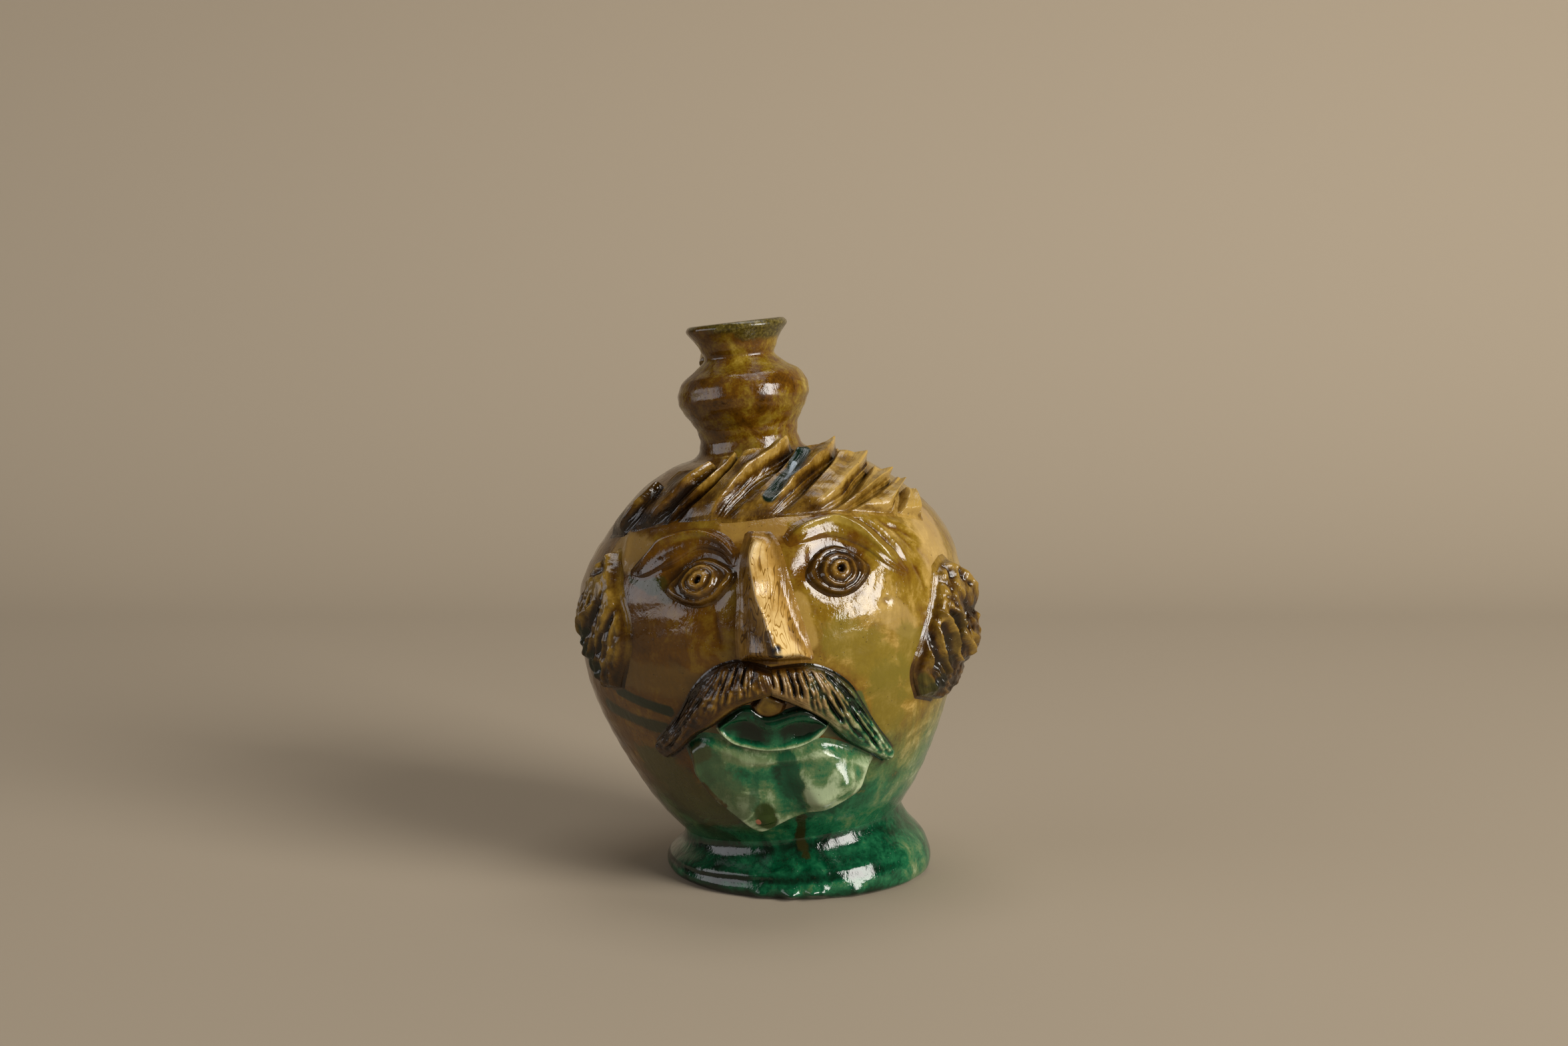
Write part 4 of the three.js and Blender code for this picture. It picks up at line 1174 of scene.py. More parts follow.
@dataclass
class Belly:
    """The thrown belly, its outside modelled by the thumbs, open to the foot and the neck."""

    wall: float = 5.0
    rows: int = 232
    front_columns: int = 300
    back_columns: int = 100
    face_half: float = 84.0  # degrees from the front to where the finer columns end
    inner_rows: int = 12
    lap_in: float = 0.9  # how far its foot steps in over the slip
    lap_share: float = -0.012
    cuts: tuple[Cut, ...] = (
        Cut(((31, 0.85), (38.1, 0.802), (41.3, 0.75), (43.5, 0.69)), 1.5, -0.9),
        Cut(((34, 0.85), (41, 0.803), (44.2, 0.75), (46.5, 0.69)), 1.4, 0.7),
        Cut(((40.4, 0.822), (45.7, 0.793), (49.0, 0.75), (50.7, 0.717)), 1.0, -0.6),
        Cut(((43.0, 0.811), (49.0, 0.784), (53.3, 0.75)), 1.0, -0.55),
        Cut(((46.0, 0.815), (51.0, 0.795), (56, 0.757)), 0.9, 0.4),
        Cut(((47.1, 0.71), (49.6, 0.667), (51.0, 0.617)), 1.2, -0.5),
        Cut(((51.4, 0.743), (55.0, 0.704), (56.8, 0.673)), 1.2, -0.5),
        Cut(((-55.6, 0.843), (-43.1, 0.856), (-29.5, 0.863), (-19.0, 0.861), (-12.3, 0.839)), 1.8, 0.45),
        Cut(((-57.1, 0.858), (-51.5, 0.798), (-48.8, 0.769)), 1.6, 0.6),
        Cut(((34.2, 0.63), (34.6, 0.626)), 1.3, -1.0, 0),
        Cut(((33.2, 0.638), (35.6, 0.636)), 1.0, 0.35, 0),
        Cut(((-13.6, 0.56), (-14.4, 0.62), (-14.8, 0.68)), 1.3, -0.45),
        Cut(((12.8, 0.8), (12, 0.74), (13, 0.7)), 2.5, 0.5),
    )

    def make(self, potter: Potter) -> None:
        """Builds and glazes the belly.

        Args:
            potter: Keeps the head and the glazes.
        """
        pot = potter.pot
        length = np.linspace(0, pot.slopes[2][-1], self.rows)
        shares = np.interp(length, pot.slopes[2], pot.outline[:, 1])
        turn = np.concatenate([
            np.linspace(-self.face_half, self.face_half, self.front_columns, endpoint=False),
            np.linspace(self.face_half, 360 - self.face_half, self.back_columns, endpoint=False),
        ])
        share, azimuth = np.meshgrid(shares, turn, indexing="ij")
        azimuth = np.where(azimuth > 180, azimuth - 360, azimuth)
        thrown = pot.spot(azimuth, share)
        lift = pot.modelled(azimuth, share) * ease(share, 0.012, 0.05) * ease(share, 1, 0.97)
        lift = lift + sum(cut.lift(pot, thrown) for cut in self.cuts)
        outer = pot.spot(azimuth, share, lift)
        inside = np.linspace(0.98, 0.03, self.inner_rows)
        share_in, azimuth_in = np.meshgrid(inside, turn, indexing="ij")
        inner = pot.spot(azimuth_in, share_in, -self.wall)
        bore = pot.shoulder - self.wall * 4 / 3
        reach = np.hypot(inner[..., 0] - pot.drift(share_in), inner[..., 1])
        grow = np.maximum(1, bore / reach)
        inner[..., 0] = (inner[..., 0] - pot.drift(share_in)) * grow + pot.drift(share_in)
        inner[..., 1] *= grow
        lip = self.level(pot, bore, 1.0, turn)
        base = self.level(pot, pot.waist_radius - self.wall, 0.0, turn)
        lap = self.level(pot, pot.waist_radius - self.lap_in, self.lap_share, turn)
        rings = np.concatenate([lap[None], outer, lip[None], inner, base[None]])
        pool = np.zeros(rings.shape[:2])
        pool[1 : 1 + self.rows] = self.pools(pot, azimuth, share, lift, outer)
        pool[1] = pool[0] = 0.7
        grain = np.zeros(rings.shape)
        girth = np.radians(azimuth) * pot.widest
        grain[1 : 1 + self.rows] = np.stack([girth, pot.girth_at(share), lift], -1)
        attributes = {POOL: pool.ravel(), GRAIN: grain.reshape(-1, 3)}
        shape = (rings.reshape(-1, 3), ring_faces(len(rings), len(turn)), attributes)
        potter.lean("belly", shape, AMBER_GLAZE)

    @staticmethod
    def level(pot: Pot, radius: float, share: float, turn: Array) -> Array:
        """A ring of points round the axis at a height share.

        Args:
            pot: The head.
            radius: The ring's radius.
            share: Share of the belly's height.
            turn: Degrees round the axis.

        Returns:
            The points.
        """
        a = np.radians(turn)
        rise = np.full(a.shape, pot.base + share * pot.height)
        return np.stack([radius * np.sin(a), -radius * np.cos(a), rise], -1)

    @staticmethod
    def pools(pot: Pot, azimuth: Array, share: Array, lift: Array, outer: Array) -> Array:
        """How deep glaze lies: in hollows, in the sockets and along the edges of the pressed pieces.

        Args:
            pot: The head.
            azimuth: Degrees round the axis.
            share: Share of the belly's height.
            lift: How far the clay was moved.
            outer: The points of the surface.

        Returns:
            The depth at each point.
        """
        pool = np.clip((blurred(lift, 12) - lift) / 0.7, -0.8, 1)
        for edge in FACE_EDGES:
            loop = pot.spot(edge[:, 0], edge[:, 1])
            low, high = edge.min(0) - (9, 0.06), edge.max(0) + (9, 0.06)
            near = (azimuth > low[0]) & (azimuth < high[0]) & (share > low[1]) & (share < high[1])
            gap = nearest(outer[near], loop)[0]
            wide = 1.3 + 0.7 * clay_noise(outer[near], 9, 17)
            pool[near] = np.maximum(pool[near], 0.5 * bell(gap, wide))
        for eye in EYES:
            right, up = pot.away(azimuth, share, eye.centre)
            out = np.hypot(right / (eye.width / 2), up / (eye.tall / 2))
            above = ease(up, -eye.tall / 3, eye.tall / 3)
            pool = np.maximum(pool, ease(out, 1.55, 1.1) * (0.2 + 0.8 * above))
        return np.clip(pool, -1, 1)


@dataclass
class Neck:
    """The thrown neck: a bulb, a groove and a flared lip round an open bore."""

    height: float = 47.0
    groove_share: float = 0.74
    waist: float = 17.9
    bulb: float = 23.7
    groove: float = 12.8
    lip: float = 18.1
    wall: float = 4.0
    foot_bore: float = 13.4
    ring_pitch: float = 4.3
    rows: int = 150
    sides: int = 300

    def outline(self, pot: Pot) -> Array:
        """The skin's rings, from the slip at the shoulder to the lip.

        Args:
            pot: The head.

        Returns:
            Rows of radius and height.
        """
        bulge, dip, flare = self.bulb - self.waist, self.bulb - self.groove, self.lip - self.groove
        rings = [
            (-0.022, self.waist + 5.2), (0, self.waist + 2.6), (0.035, self.waist + 0.9),
            (0.09, self.waist + 0.1), (0.14, self.waist), (0.22, self.waist + 0.14 * bulge),
            (0.33, self.waist + 0.65 * bulge), (0.43, self.bulb), (0.52, self.groove + 0.94 * dip),
            (0.6, self.groove + 0.72 * dip), (0.67, self.groove + 0.28 * dip),
            (self.groove_share, self.groove), (0.81, self.groove + 0.22 * flare),
            (0.88, self.groove + 0.5 * flare), (0.95, self.lip), (0.99, self.lip - 0.8), (1, self.lip - 2),
        ]
        points = [(radius, pot.top + rise * self.height) for rise, radius in rings]
        return catmull(points, np.linspace(0, 1, self.rows))

    def make(self, potter: Potter) -> None:
        """Builds and glazes the neck.

        Args:
            potter: Keeps the head and the glazes.
        """
        pot = potter.pot
        skin = self.outline(pot)
        top = pot.top + self.height
        bore = skin[::-6] - (self.wall, 0)
        bore = bore[(bore[:, 1] < top - self.wall / 2) & (bore[:, 1] > pot.top)]
        bore[:, 0] = np.minimum(bore[:, 0], self.bulb - self.wall)
        rim, base = [(self.lip - self.wall * 1.1, top)], [(self.foot_bore, pot.top)]
        outline = np.concatenate([skin, rim, bore, base])
        turn = np.radians(np.arange(self.sides) * 360 / self.sides)
        radius, turn = np.meshgrid(outline[:, 0], turn, indexing="ij")
        rise = np.broadcast_to(outline[:, 1:2], radius.shape)
        spots = np.stack([radius * np.sin(turn), -radius * np.cos(turn), rise], -1)
        outer = (np.arange(len(outline)) < self.rows + 1)[:, None] * ease(rise, pot.top, pot.top + 3)
        stray = 0.42 * clay_noise(spots, 17, 21) + 0.2 * clay_noise(spots, 6, 22)
        rings = 0.1 * np.sin(2 * math.pi * rise / self.ring_pitch + 2.5 * clay_noise(spots, 20, 23))
        lift = outer * (stray + rings)
        spots[..., 0] += lift * np.sin(turn)
        spots[..., 1] -= lift * np.cos(turn)
        share = (rise - top) / self.height + 1
        bare = 0.25 * bell(share - 0.7, 0.04)
        pool = outer * (0.25 * bell(share - 0.75, 0.02) + 0.3 * ease(share, 0.9, 0.97) - bare)
        grain = np.stack([self.bulb * turn, rise, lift], -1)
        attributes = {POOL: np.clip(pool, 0, 1).ravel(), GRAIN: grain.reshape(-1, 3)}
        shape = (spots.reshape(-1, 3), ring_faces(len(outline), self.sides), attributes)
        potter.lean("neck", shape, NECK_GLAZE)


@dataclass
class StrapHandle:
    """A pulled strap from under the lip to the back of the head."""

    width: float = 24.0
    thick: float = 8.5
    reach: float = 76.0
    end_share: float = 0.72  # height share near which it meets the back of the head
    length: float = 95.0
    offset: float = -2.5
    ridge_pitch: float = 6.4
    route_shares: tuple[Place, ...] = (
        (0.15, -0.02), (0.36, 0.03), (0.68, -0.06), (0.93, -0.28), (1, -0.52), (0.95, -0.76), (0.84, -0.98),
    )
    rows: int = 150
    sides: int = 72

    def make(self, potter: Potter) -> None:
        """Builds and glazes the handle.

        Args:
            potter: Keeps the head and the glazes.
        """
        pot = potter.pot
        top = pot.top + Neck.groove_share * Neck.height
        drop = top - (pot.base + self.end_share * pot.height)
        route = [(out * self.reach, top + rise * drop) for out, rise in self.route_shares]
        route = catmull(route, np.linspace(0, 1, self.rows))
        run = np.gradient(route, axis=0)
        run /= np.linalg.norm(run, axis=1, keepdims=True)
        along = np.linspace(0, 1, self.rows)[:, None]
        turn = (np.arange(self.sides) * 2 * math.pi / self.sides)[None]
        side = np.sign(np.cos(turn)) * np.abs(np.cos(turn)) ** 0.8 * self.width / 2
        face = np.sin(turn) * self.thick / 2
        ridges = 0.35 * np.cos(2 * math.pi * side / self.ridge_pitch) * np.abs(np.sin(turn))
        ridges = ridges - 0.5 * bell(side, 4) * (face > 0)
        face = (face + ridges * np.sign(face)) * (1 - 0.6 * ease(along, 0.93, 1))
        widen = 1 + 0.26 * ease(along, 0.82, 0.94) + 0.05 * ease(along, 0.15, 0)
        x = self.offset + side * (widen - 0.55 * ease(along, 0.955, 1) ** 2)
        normal = np.stack([-run[:, 1], run[:, 0]], -1)
        y = route[:, :1] + face * normal[:, :1]
        z = route[:, 1:] + face * normal[:, 1:]
        spots = np.stack([x + 0 * y, y, z], -1)
        stray = 0.35 * clay_noise(spots, 15, 31)
        spots[..., 1] += stray * normal[:, :1]
        spots[..., 2] += stray * normal[:, 1:]
        pool = np.clip(0.5 * bell(side, 2.5) * (face > 0) + 0.7 * ease(along, 0.93, 0.99), 0, 1)
        length = np.linspace(0, self.length, self.rows)[:, None]
        grain = np.stack([length + 0 * y, side + 0 * y, face + 0 * y], -1)
        attributes = {POOL: np.broadcast_to(pool, y.shape).ravel(), GRAIN: grain.reshape(-1, 3)}
        shape = (spots.reshape(-1, 3), ring_faces(self.rows, self.sides, capped=True), attributes)
        potter.lean("strap_handle", shape, STRAP_GLAZE)


@dataclass
class Hair:
    """Nine locks swept to the viewer's right, each with a crest and a combed hollow on its right side."""

    thick: float = 5.8
    thin: float = 1.0
    section: tuple[Place, ...] = (
        (0, 0.26), (0.1, 0.42), (0.3, 0.6), (0.5, 0.79), (0.64, 0.95), (0.71, 1.02), (0.75, 0.94),
        (0.79, 0.58), (0.84, 0.3), (0.9, 0.2), (0.96, 0.22), (1, 0.24),
    )
    comb_pitch: float = 1.0
    dips: dict[int, tuple[Cut, ...]] = field(default_factory=lambda: {
        5: (Cut(((3.6, 0.887), (15.2, 0.933), (30.6, 0.97)), 2.6, -1.8, 0.2),),
        8: (Cut(((44, 0.856), (52, 0.862)), 4.0, -0.5, 0.2),),
    })  # by the lock's number
    # the left edge, the right edge, and how high the tip stands
    locks: tuple = (
        (((-72, 0.832), (-70, 0.871), (-64, 0.915), (-56, 0.948)),
         ((-59, 0.841), (-53, 0.878), (-50, 0.915), (-50, 0.945)), 0.6),
        (((-58, 0.841), (-51, 0.896), (-46, 0.935), (-41, 0.961)),
         ((-43, 0.858), (-32, 0.903), (-23, 0.942), (-13, 0.97)), 1.3),
        (((-42, 0.858), (-31, 0.905), (-23, 0.944), (-17, 0.98)),
         ((-36, 0.859), (-26, 0.908), (-15, 0.945), (-4, 0.98)), 1.3),
        (((-35, 0.861), (-25, 0.908), (-16, 0.944), (-6, 0.978)),
         ((-15, 0.863), (-7, 0.91), (6, 0.949), (38, 0.988)), 1.9),
        (((-14, 0.862), (-5, 0.897), (7, 0.938), (24, 0.974)),
         ((5, 0.863), (15, 0.896), (30, 0.933), (70, 0.976)), 1.8),
        (((6, 0.863), (16, 0.893), (28, 0.928), (48, 0.96)),
         ((23, 0.855), (34, 0.875), (46, 0.904), (67, 0.93)), 1.5),
        (((24, 0.854), (35, 0.874), (46, 0.9), (59, 0.921)),
         ((31, 0.849), (40, 0.863), (51, 0.878), (68, 0.888)), 1.2),
        (((32, 0.848), (41, 0.861), (53, 0.876), (67, 0.887)),
         ((51, 0.82), (54, 0.834), (59, 0.85), (67, 0.866)), 1.1),
        (((53, 0.817), (56, 0.832), (61, 0.847), (67, 0.863)),
         ((65, 0.793), (66, 0.808), (67, 0.825), (69, 0.845)), 0.9),
    )

    def make(self, potter: Potter) -> None:
        """Builds and glazes the locks.

        Args:
            potter: Keeps the head and the glazes.
        """
        for number, (left, right, tip) in enumerate(self.locks, 1):
            potter.press(f"hair_tuft_{number}", HAIR_GLAZE, Slab(
                left, right, (100, 70), partial(self.relief, tip), rim=1.1, soft=(0.6, 0.3, 1, 0),
                slip_width=2.6, slip_height=0.1, edge_pool=0.1, cavity=1.1, spread=1.6,
                cuts=self.dips.get(number, ()),
            ))

    def relief(self, tip: float, at: SlabPoints) -> Array:
        """The height of a lock along it and across it, from its left edge.

        Args:
            tip: How high its tip stands.
            at: Where the points are.

        Returns:
            The heights.
        """
        along, across, inset, ground = at
        lift = np.sin(math.pi * (0.1 + 0.6 * along)) * (1 - along**2) + tip * along**2
        lift = lift * (1 + 0.12 * clay_noise(ground, 5, 40)) * ease(along, -0.12, 0.25)
        wander = across + 0.025 * clay_noise(ground, 9, 44)
        face = curve(self.section, wander)
        blunt = 0.72 * ease(across, -0.1, 0.12) * ease(wander, 0.8, 0.72)
        face = face + ease(along, 0.5, 0.95) * np.maximum(0, blunt - face)
        floor = ease(wander, 0.76, 0.84)
        lines = np.cos(2 * math.pi * (inset / self.comb_pitch + 0.35 * clay_noise(ground, 9, 41)))
        burr = 0.26 * floor * lines + 0.4 * bell(wander - 0.9, 0.02) * ease(along, 0.1, 0.4)
        torn = 0.9 * clay_noise(ground, 2.2, 43) * ease(along, 0.86, 1)
        dent = 0.4 * clay_noise(ground, 6, 42) + 0.12 * clay_noise(ground, 2.4, 45) + torn
        base = self.thin * ease(along, -0.1, 0.3)
        return base + (self.thick - self.thin) * face * lift + burr + dent * ease(inset, 0, 1.5)


@dataclass
class Brows:
    """Two arcs over the eyes: a ridge above, falling through a lid into the socket."""

    section: tuple[Place, ...] = (
        (0, 0.12), (0.1, 0.2), (0.22, 0.18), (0.38, 0.22), (0.54, 0.42), (0.68, 0.72), (0.79, 0.88),
        (0.89, 0.72), (1, 0.1),
    )
    thick: float = 5.4
    edges: tuple = (
        ("brow_left",
         ((-44, 0.752), (-38.2, 0.749), (-30.9, 0.774), (-21.8, 0.808), (-13.7, 0.797), (-9.4, 0.765)),
         ((-44.6, 0.76), (-40.3, 0.802), (-35, 0.835), (-22.2, 0.848), (-13.3, 0.828), (-8.4, 0.787))),
        ("brow_right",
         ((8.4, 0.795), (12.1, 0.795), (22.2, 0.802), (31, 0.769), (36.9, 0.713), (43.2, 0.681)),
         ((7.6, 0.81), (12.5, 0.836), (24.9, 0.846), (33.1, 0.816), (38.8, 0.752), (43.8, 0.689))),
    )

    def make(self, potter: Potter) -> None:
        """Builds and glazes both brows.

        Args:
            potter: Keeps the head and the glazes.
        """
        for name, near, far in self.edges:
            potter.press(name, BROW_GLAZE, Slab(
                near, far, (130, 50), self.relief, rim=2.0, soft=(0.2, 1, 0.9, 0.9), slip_width=3,
                slip_height=0.25, edge_pool=0.0, cavity=1.1, spread=2.2,
            ))

    def relief(self, at: SlabPoints) -> Array:
        """A brow's height: a broad ridge along its upper edge, falling through a hollow lid to the eye.

        Args:
            at: Where the points are.

        Returns:
            The heights.
        """
        along, across, _, ground = at
        section = curve(self.section, across + 0.03 * clay_noise(ground, 9, 52))
        ends = swell(0.05 + 0.9 * along, 0.5)
        return 0.4 + self.thick * ends * section + 0.16 * clay_noise(ground, 5, 51) * ends


@dataclass
class Nose:
    """A long wedge with a crest, and a blunt end over the moustache."""

    depth: float = 13.0
    thin: float = 1.0
    near: tuple = ((-8.7, 0.532), (-8.4, 0.6), (-7.2, 0.68), (-7, 0.76), (-4.6, 0.828))
    far: tuple = ((10.4, 0.518), (8.9, 0.585), (7.0, 0.665), (4.4, 0.785), (2.2, 0.822))
    rise_shares: tuple[Place, ...] = (
        (0, 0.3), (0.04, 0.66), (0.09, 0.92), (0.15, 1), (0.3, 0.9), (0.5, 0.68), (0.7, 0.45), (0.85, 0.29),
        (0.95, 0.13), (1, 0.03),
    )
    crest_shares: tuple[Place, ...] = (
        (0, 0.55), (0.16, 0.54), (0.38, 0.46), (0.53, 0.34), (0.7, 0.28), (1, 0.22),
    )
    cuts: tuple[Cut, ...] = (
        Cut(((-6.9, 0.575), (-6.5, 0.65), (-5.9, 0.74)), 0.7, -0.35),
        Cut(((-5.2, 0.57), (-5.1, 0.63), (-4.9, 0.7)), 0.6, -0.25),
        Cut(((6.6, 0.6), (6, 0.66), (5, 0.73)), 0.9, -0.3),
        Cut(((3.8, 0.545), (4.4, 0.6), (3.4, 0.66)), 0.7, 0.25),
    )

    def make(self, potter: Potter) -> None:
        """Builds and glazes the nose.

        Args:
            potter: Keeps the head and the glazes.
        """
        potter.press("nose", OCHRE_GLAZE, Slab(
            self.near, self.far, (150, 84), self.relief, rim=2.6, soft=(0.45, 1, 0.6, 1), slip_width=3,
            slip_height=0.2, edge_pool=0.1, cavity=1.1, spread=2, cuts=self.cuts, thicker=self.thicker,
        ))

    def relief(self, at: SlabPoints) -> Array:
        """The wedge's height: a steep left plane, and a right one that runs out on the cheek.

        Args:
            at: Where the points are.

        Returns:
            The heights.
        """
        along, across, inset, ground = at
        depth = self.depth * curve(self.rise_shares, along)
        crest = np.interp(along, *zip(*self.crest_shares)) + 0.02 * clay_noise(ground, 9, 63)
        left, right = np.clip(across / crest, 0, 1), np.clip((1 - across) / (1 - crest), 0, 1)
        side = np.where(across < crest, 0.2 * left + 0.8 * left**1.6, 0.2 * right + 0.8 * right**1.7)
        side = 1 - np.sqrt((1 - side) ** 2 + 0.01) + 0.1
        ball = np.sqrt(1 - (1 - np.minimum(left, right)) ** 2)
        side = side + (ball - side) * 0.65 * bell(along - 0.07, 0.13)
        bulb = 0.9 * bell(along - 0.13, 0.1) * bell(across - 0.54, 0.16)
        wing = 0.5 * bell(along - 0.05, 0.06) * bell(across - 0.84, 0.12)
        dent = 0.3 * clay_noise(ground * (1, 1, 0.35), 3.6, 61) + 0.35 * clay_noise(ground, 8, 62)
        thin = self.thin * (1 - 0.7 * ease(across, 0.5, 1)) * ease(along, 1.02, 0.8)
        return thin + (depth - thin) * side + bulb + wing + dent * ease(inset, 0, 2)

    def thicker(self, at: SlabPoints) -> Array:
        """How the glaze lies: thick on the left plane, which is painted shade away from the lamp, below the
        tip and out on the cheek, and thinner low on the right plane, partly a painted highlight.

        Args:
            at: Where the points are.

        Returns:
            How much thicker it lies.
        """
        along, across, _, _ = at
        crest = np.interp(along, *zip(*self.crest_shares))
        # painted shade: the left plane is painted darker, away from the light
        left = 1.1 * ease(across, crest + 0.02, crest - 0.07)
        cheek = 0.9 * ease(across, 0.7, 1.0) * ease(along, 0, 0.2)
        # partly painted highlight: the right plane is painted paler low down
        low = -0.35 * ease(across, crest, crest + 0.1) * ease(along, 0.4, 0.15) * ease(across, 0.95, 0.75)
        return left + cheek + low + 1.4 * ease(along, 0.07, 0) + 0.8 * ease(along, 0.85, 1)


@dataclass
class Moustache:
    """Two halves that turn down at the tips, combed above a smooth lower edge."""

    thick: float = 6.8
    thin: float = 1.2
    fan: Place = (5.2, 102)  # where the grooves would meet, right of the middle and above the table
    groove_width: float = 0.7
    groove_depth: float = 1.9
    left: tuple = (
        ((-1.05, 0.443), (-6.1, 0.432), (-11.6, 0.415), (-18.3, 0.379), (-24.3, 0.355), (-31.2, 0.317),
         (-38.8, 0.284)),
        ((-0.55, 0.504), (-7.7, 0.53), (-13.9, 0.525), (-18.9, 0.504), (-23.6, 0.466), (-30.5, 0.395),
         (-42, 0.325)),
    )
    right: tuple = (
        ((-1, 0.441), (3.2, 0.42), (9.4, 0.386), (14.1, 0.352), (19.9, 0.3), (27.7, 0.256), (37.6, 0.208)),
        ((-0.5, 0.505), (8.6, 0.504), (14.6, 0.484), (21.1, 0.438), (26.4, 0.372), (32.3, 0.304),
         (40.3, 0.236)),
    )
    left_grooves: tuple = (
        ((-4.9, 0.52), (-5.4, 0.5), (-6, 0.482)), ((-6.7, 0.527), (-7.7, 0.508), (-8.9, 0.474)),
        ((-9.2, 0.525), (-10.4, 0.501), (-11.6, 0.468)), ((-11.8, 0.519), (-12.9, 0.495), (-15, 0.458)),
        ((-14.4, 0.514), (-15.9, 0.484), (-18.4, 0.448)), ((-16.9, 0.501), (-18.6, 0.473), (-22.2, 0.433)),
        ((-19.5, 0.486), (-21.6, 0.46), (-26, 0.415)), ((-22.2, 0.469), (-24.7, 0.442), (-29.8, 0.388)),
        ((-25, 0.449), (-28.1, 0.41), (-33.8, 0.36)), ((-22.8, 0.43), (-27.1, 0.392), (-32.9, 0.347)),
        ((-28.6, 0.405), (-32.7, 0.369), (-38.1, 0.328)), ((-32, 0.394), (-36, 0.36), (-40, 0.335)),
        ((-30, 0.36), (-33.5, 0.335), (-36.5, 0.314)),
    )
    right_grooves: tuple = (
        ((-1, 0.503), (-0.6, 0.484), (-0.2, 0.465)), ((1.1, 0.5), (1.7, 0.477), (2, 0.448)),
        ((3.8, 0.492), (4.6, 0.466), (5, 0.436)), ((5.8, 0.495), (6.4, 0.467), (7.2, 0.432)),
        ((7.8, 0.488), (8.7, 0.456), (9.5, 0.418), (10.1, 0.39)),
        ((10, 0.485), (11.3, 0.453), (12.1, 0.416), (13.5, 0.376)),
        ((12.4, 0.48), (14.5, 0.451), (15.8, 0.427), (18.4, 0.378)),
        ((14.6, 0.474), (17.7, 0.438), (20.2, 0.403), (24, 0.345)),
        ((17.3, 0.46), (21.1, 0.414), (25.4, 0.366), (30.5, 0.306)),
        ((20.2, 0.388), (23.9, 0.344), (29, 0.288), (33.6, 0.242)),
        ((23.2, 0.401), (28.3, 0.345), (33.2, 0.29), (38, 0.238)),
        ((18.2, 0.385), (20.8, 0.344), (24.2, 0.306)),
        ((26, 0.392), (30.5, 0.338), (36, 0.278), (38.6, 0.252)), ((15.5, 0.4), (17.2, 0.372), (19, 0.35)),
    )

    def make(self, potter: Potter) -> None:
        """Builds and glazes both halves.

        Args:
            potter: Keeps the head and the glazes.
        """
        for name, (near, far), grooves, glaze, edge, tip in (
            ("moustache_left", self.left, self.left_grooves, BROWN_GLAZE, 0.55, 0.1),
            ("moustache_right", self.right, self.right_grooves, MOUSTACHE_GLAZE, 0.3, 0.05),
        ):
            depths = [self.groove_depth * (0.8 + 0.35 * math.sin(7.3 * i)) for i in range(len(grooves))]
            grooves = [((2 * p[0][0] - p[1][0], 2 * p[0][1] - p[1][1]), *p) for p in grooves]
            cuts = [Cut(path, self.groove_width, -depth, 0.25) for path, depth in zip(grooves, depths)]
            for first, second in zip(grooves[1:], grooves[2:]):
                if len(first) == len(second):
                    middle = tuple(((a[0] + b[0]) / 2, (a[1] + b[1]) / 2) for a, b in zip(first, second))
                    cuts.append(Cut(middle, 0.55, -0.45 * self.groove_depth, 0.3))
            potter.press(name, glaze, Slab(
                near, far, (230, 84), self.relief, rim=1.2, soft=(0.3, 0, 0, 0), slip_width=1.3, cavity=0.7,
                edge_pool=0.15, spread=1.0, thinnest=-0.6, butt=True, cuts=tuple(cuts),
                thicker=partial(self.thicker, edge, tip),
            ))

    def relief(self, at: SlabPoints) -> Array:
        """The height of half a moustache, from its lower edge to its upper one.

        Args:
            at: Where the points are.

        Returns:
            The heights.
        """
        along, across, inset, ground = at
        body = (self.thick - self.thin) * swell(0.05 + 0.85 * across, 0.5) * (1 - 0.38 * along)
        body = body * swell(0.14 + 0.82 * along, 0.25)
        sign = np.sign(ground[..., 0].mean())
        x, z = ground[..., 0] - self.fan[0] * sign, ground[..., 2] - self.fan[1]
        strands = np.stack([40 * np.arctan2(x, -z), 0.22 * np.hypot(x, z), 0 * x], -1)
        crusty = 0.75 * clay_noise(strands, 1.6, 71) + 0.4 * clay_noise(strands, 0.8, 74)
        crusty = crusty + 0.42 * clay_noise(ground, 1.4, 72)
        combed = ease(across, 0.15, 0.4) * (0.3 + 0.7 * ease(along, 0.04, 0.14))
        rough = (0.35 + crusty) * combed * ease(inset, 0, 1.2)
        return self.thin + body + rough + 0.35 * clay_noise(ground, 9, 73)

    def thicker(self, edge: float, tip: float, at: SlabPoints) -> Array:
        """How the glaze lies: thicker along the upper edge and towards the tip.

        Args:
            edge: How much thicker it lies along the upper edge.
            tip: How much thicker it lies towards the tip.
            at: Where the points are.

        Returns:
            How much thicker it lies.
        """
        along, across, inset, _ = at
        combed = 0.15 * ease(across, 0.2, 0.5)
        upper = edge * ease(inset, 2.6, 0.6) * ease(across, 0.6, 0.9)
        return combed + upper + tip * ease(along, 0.35, 0.75)


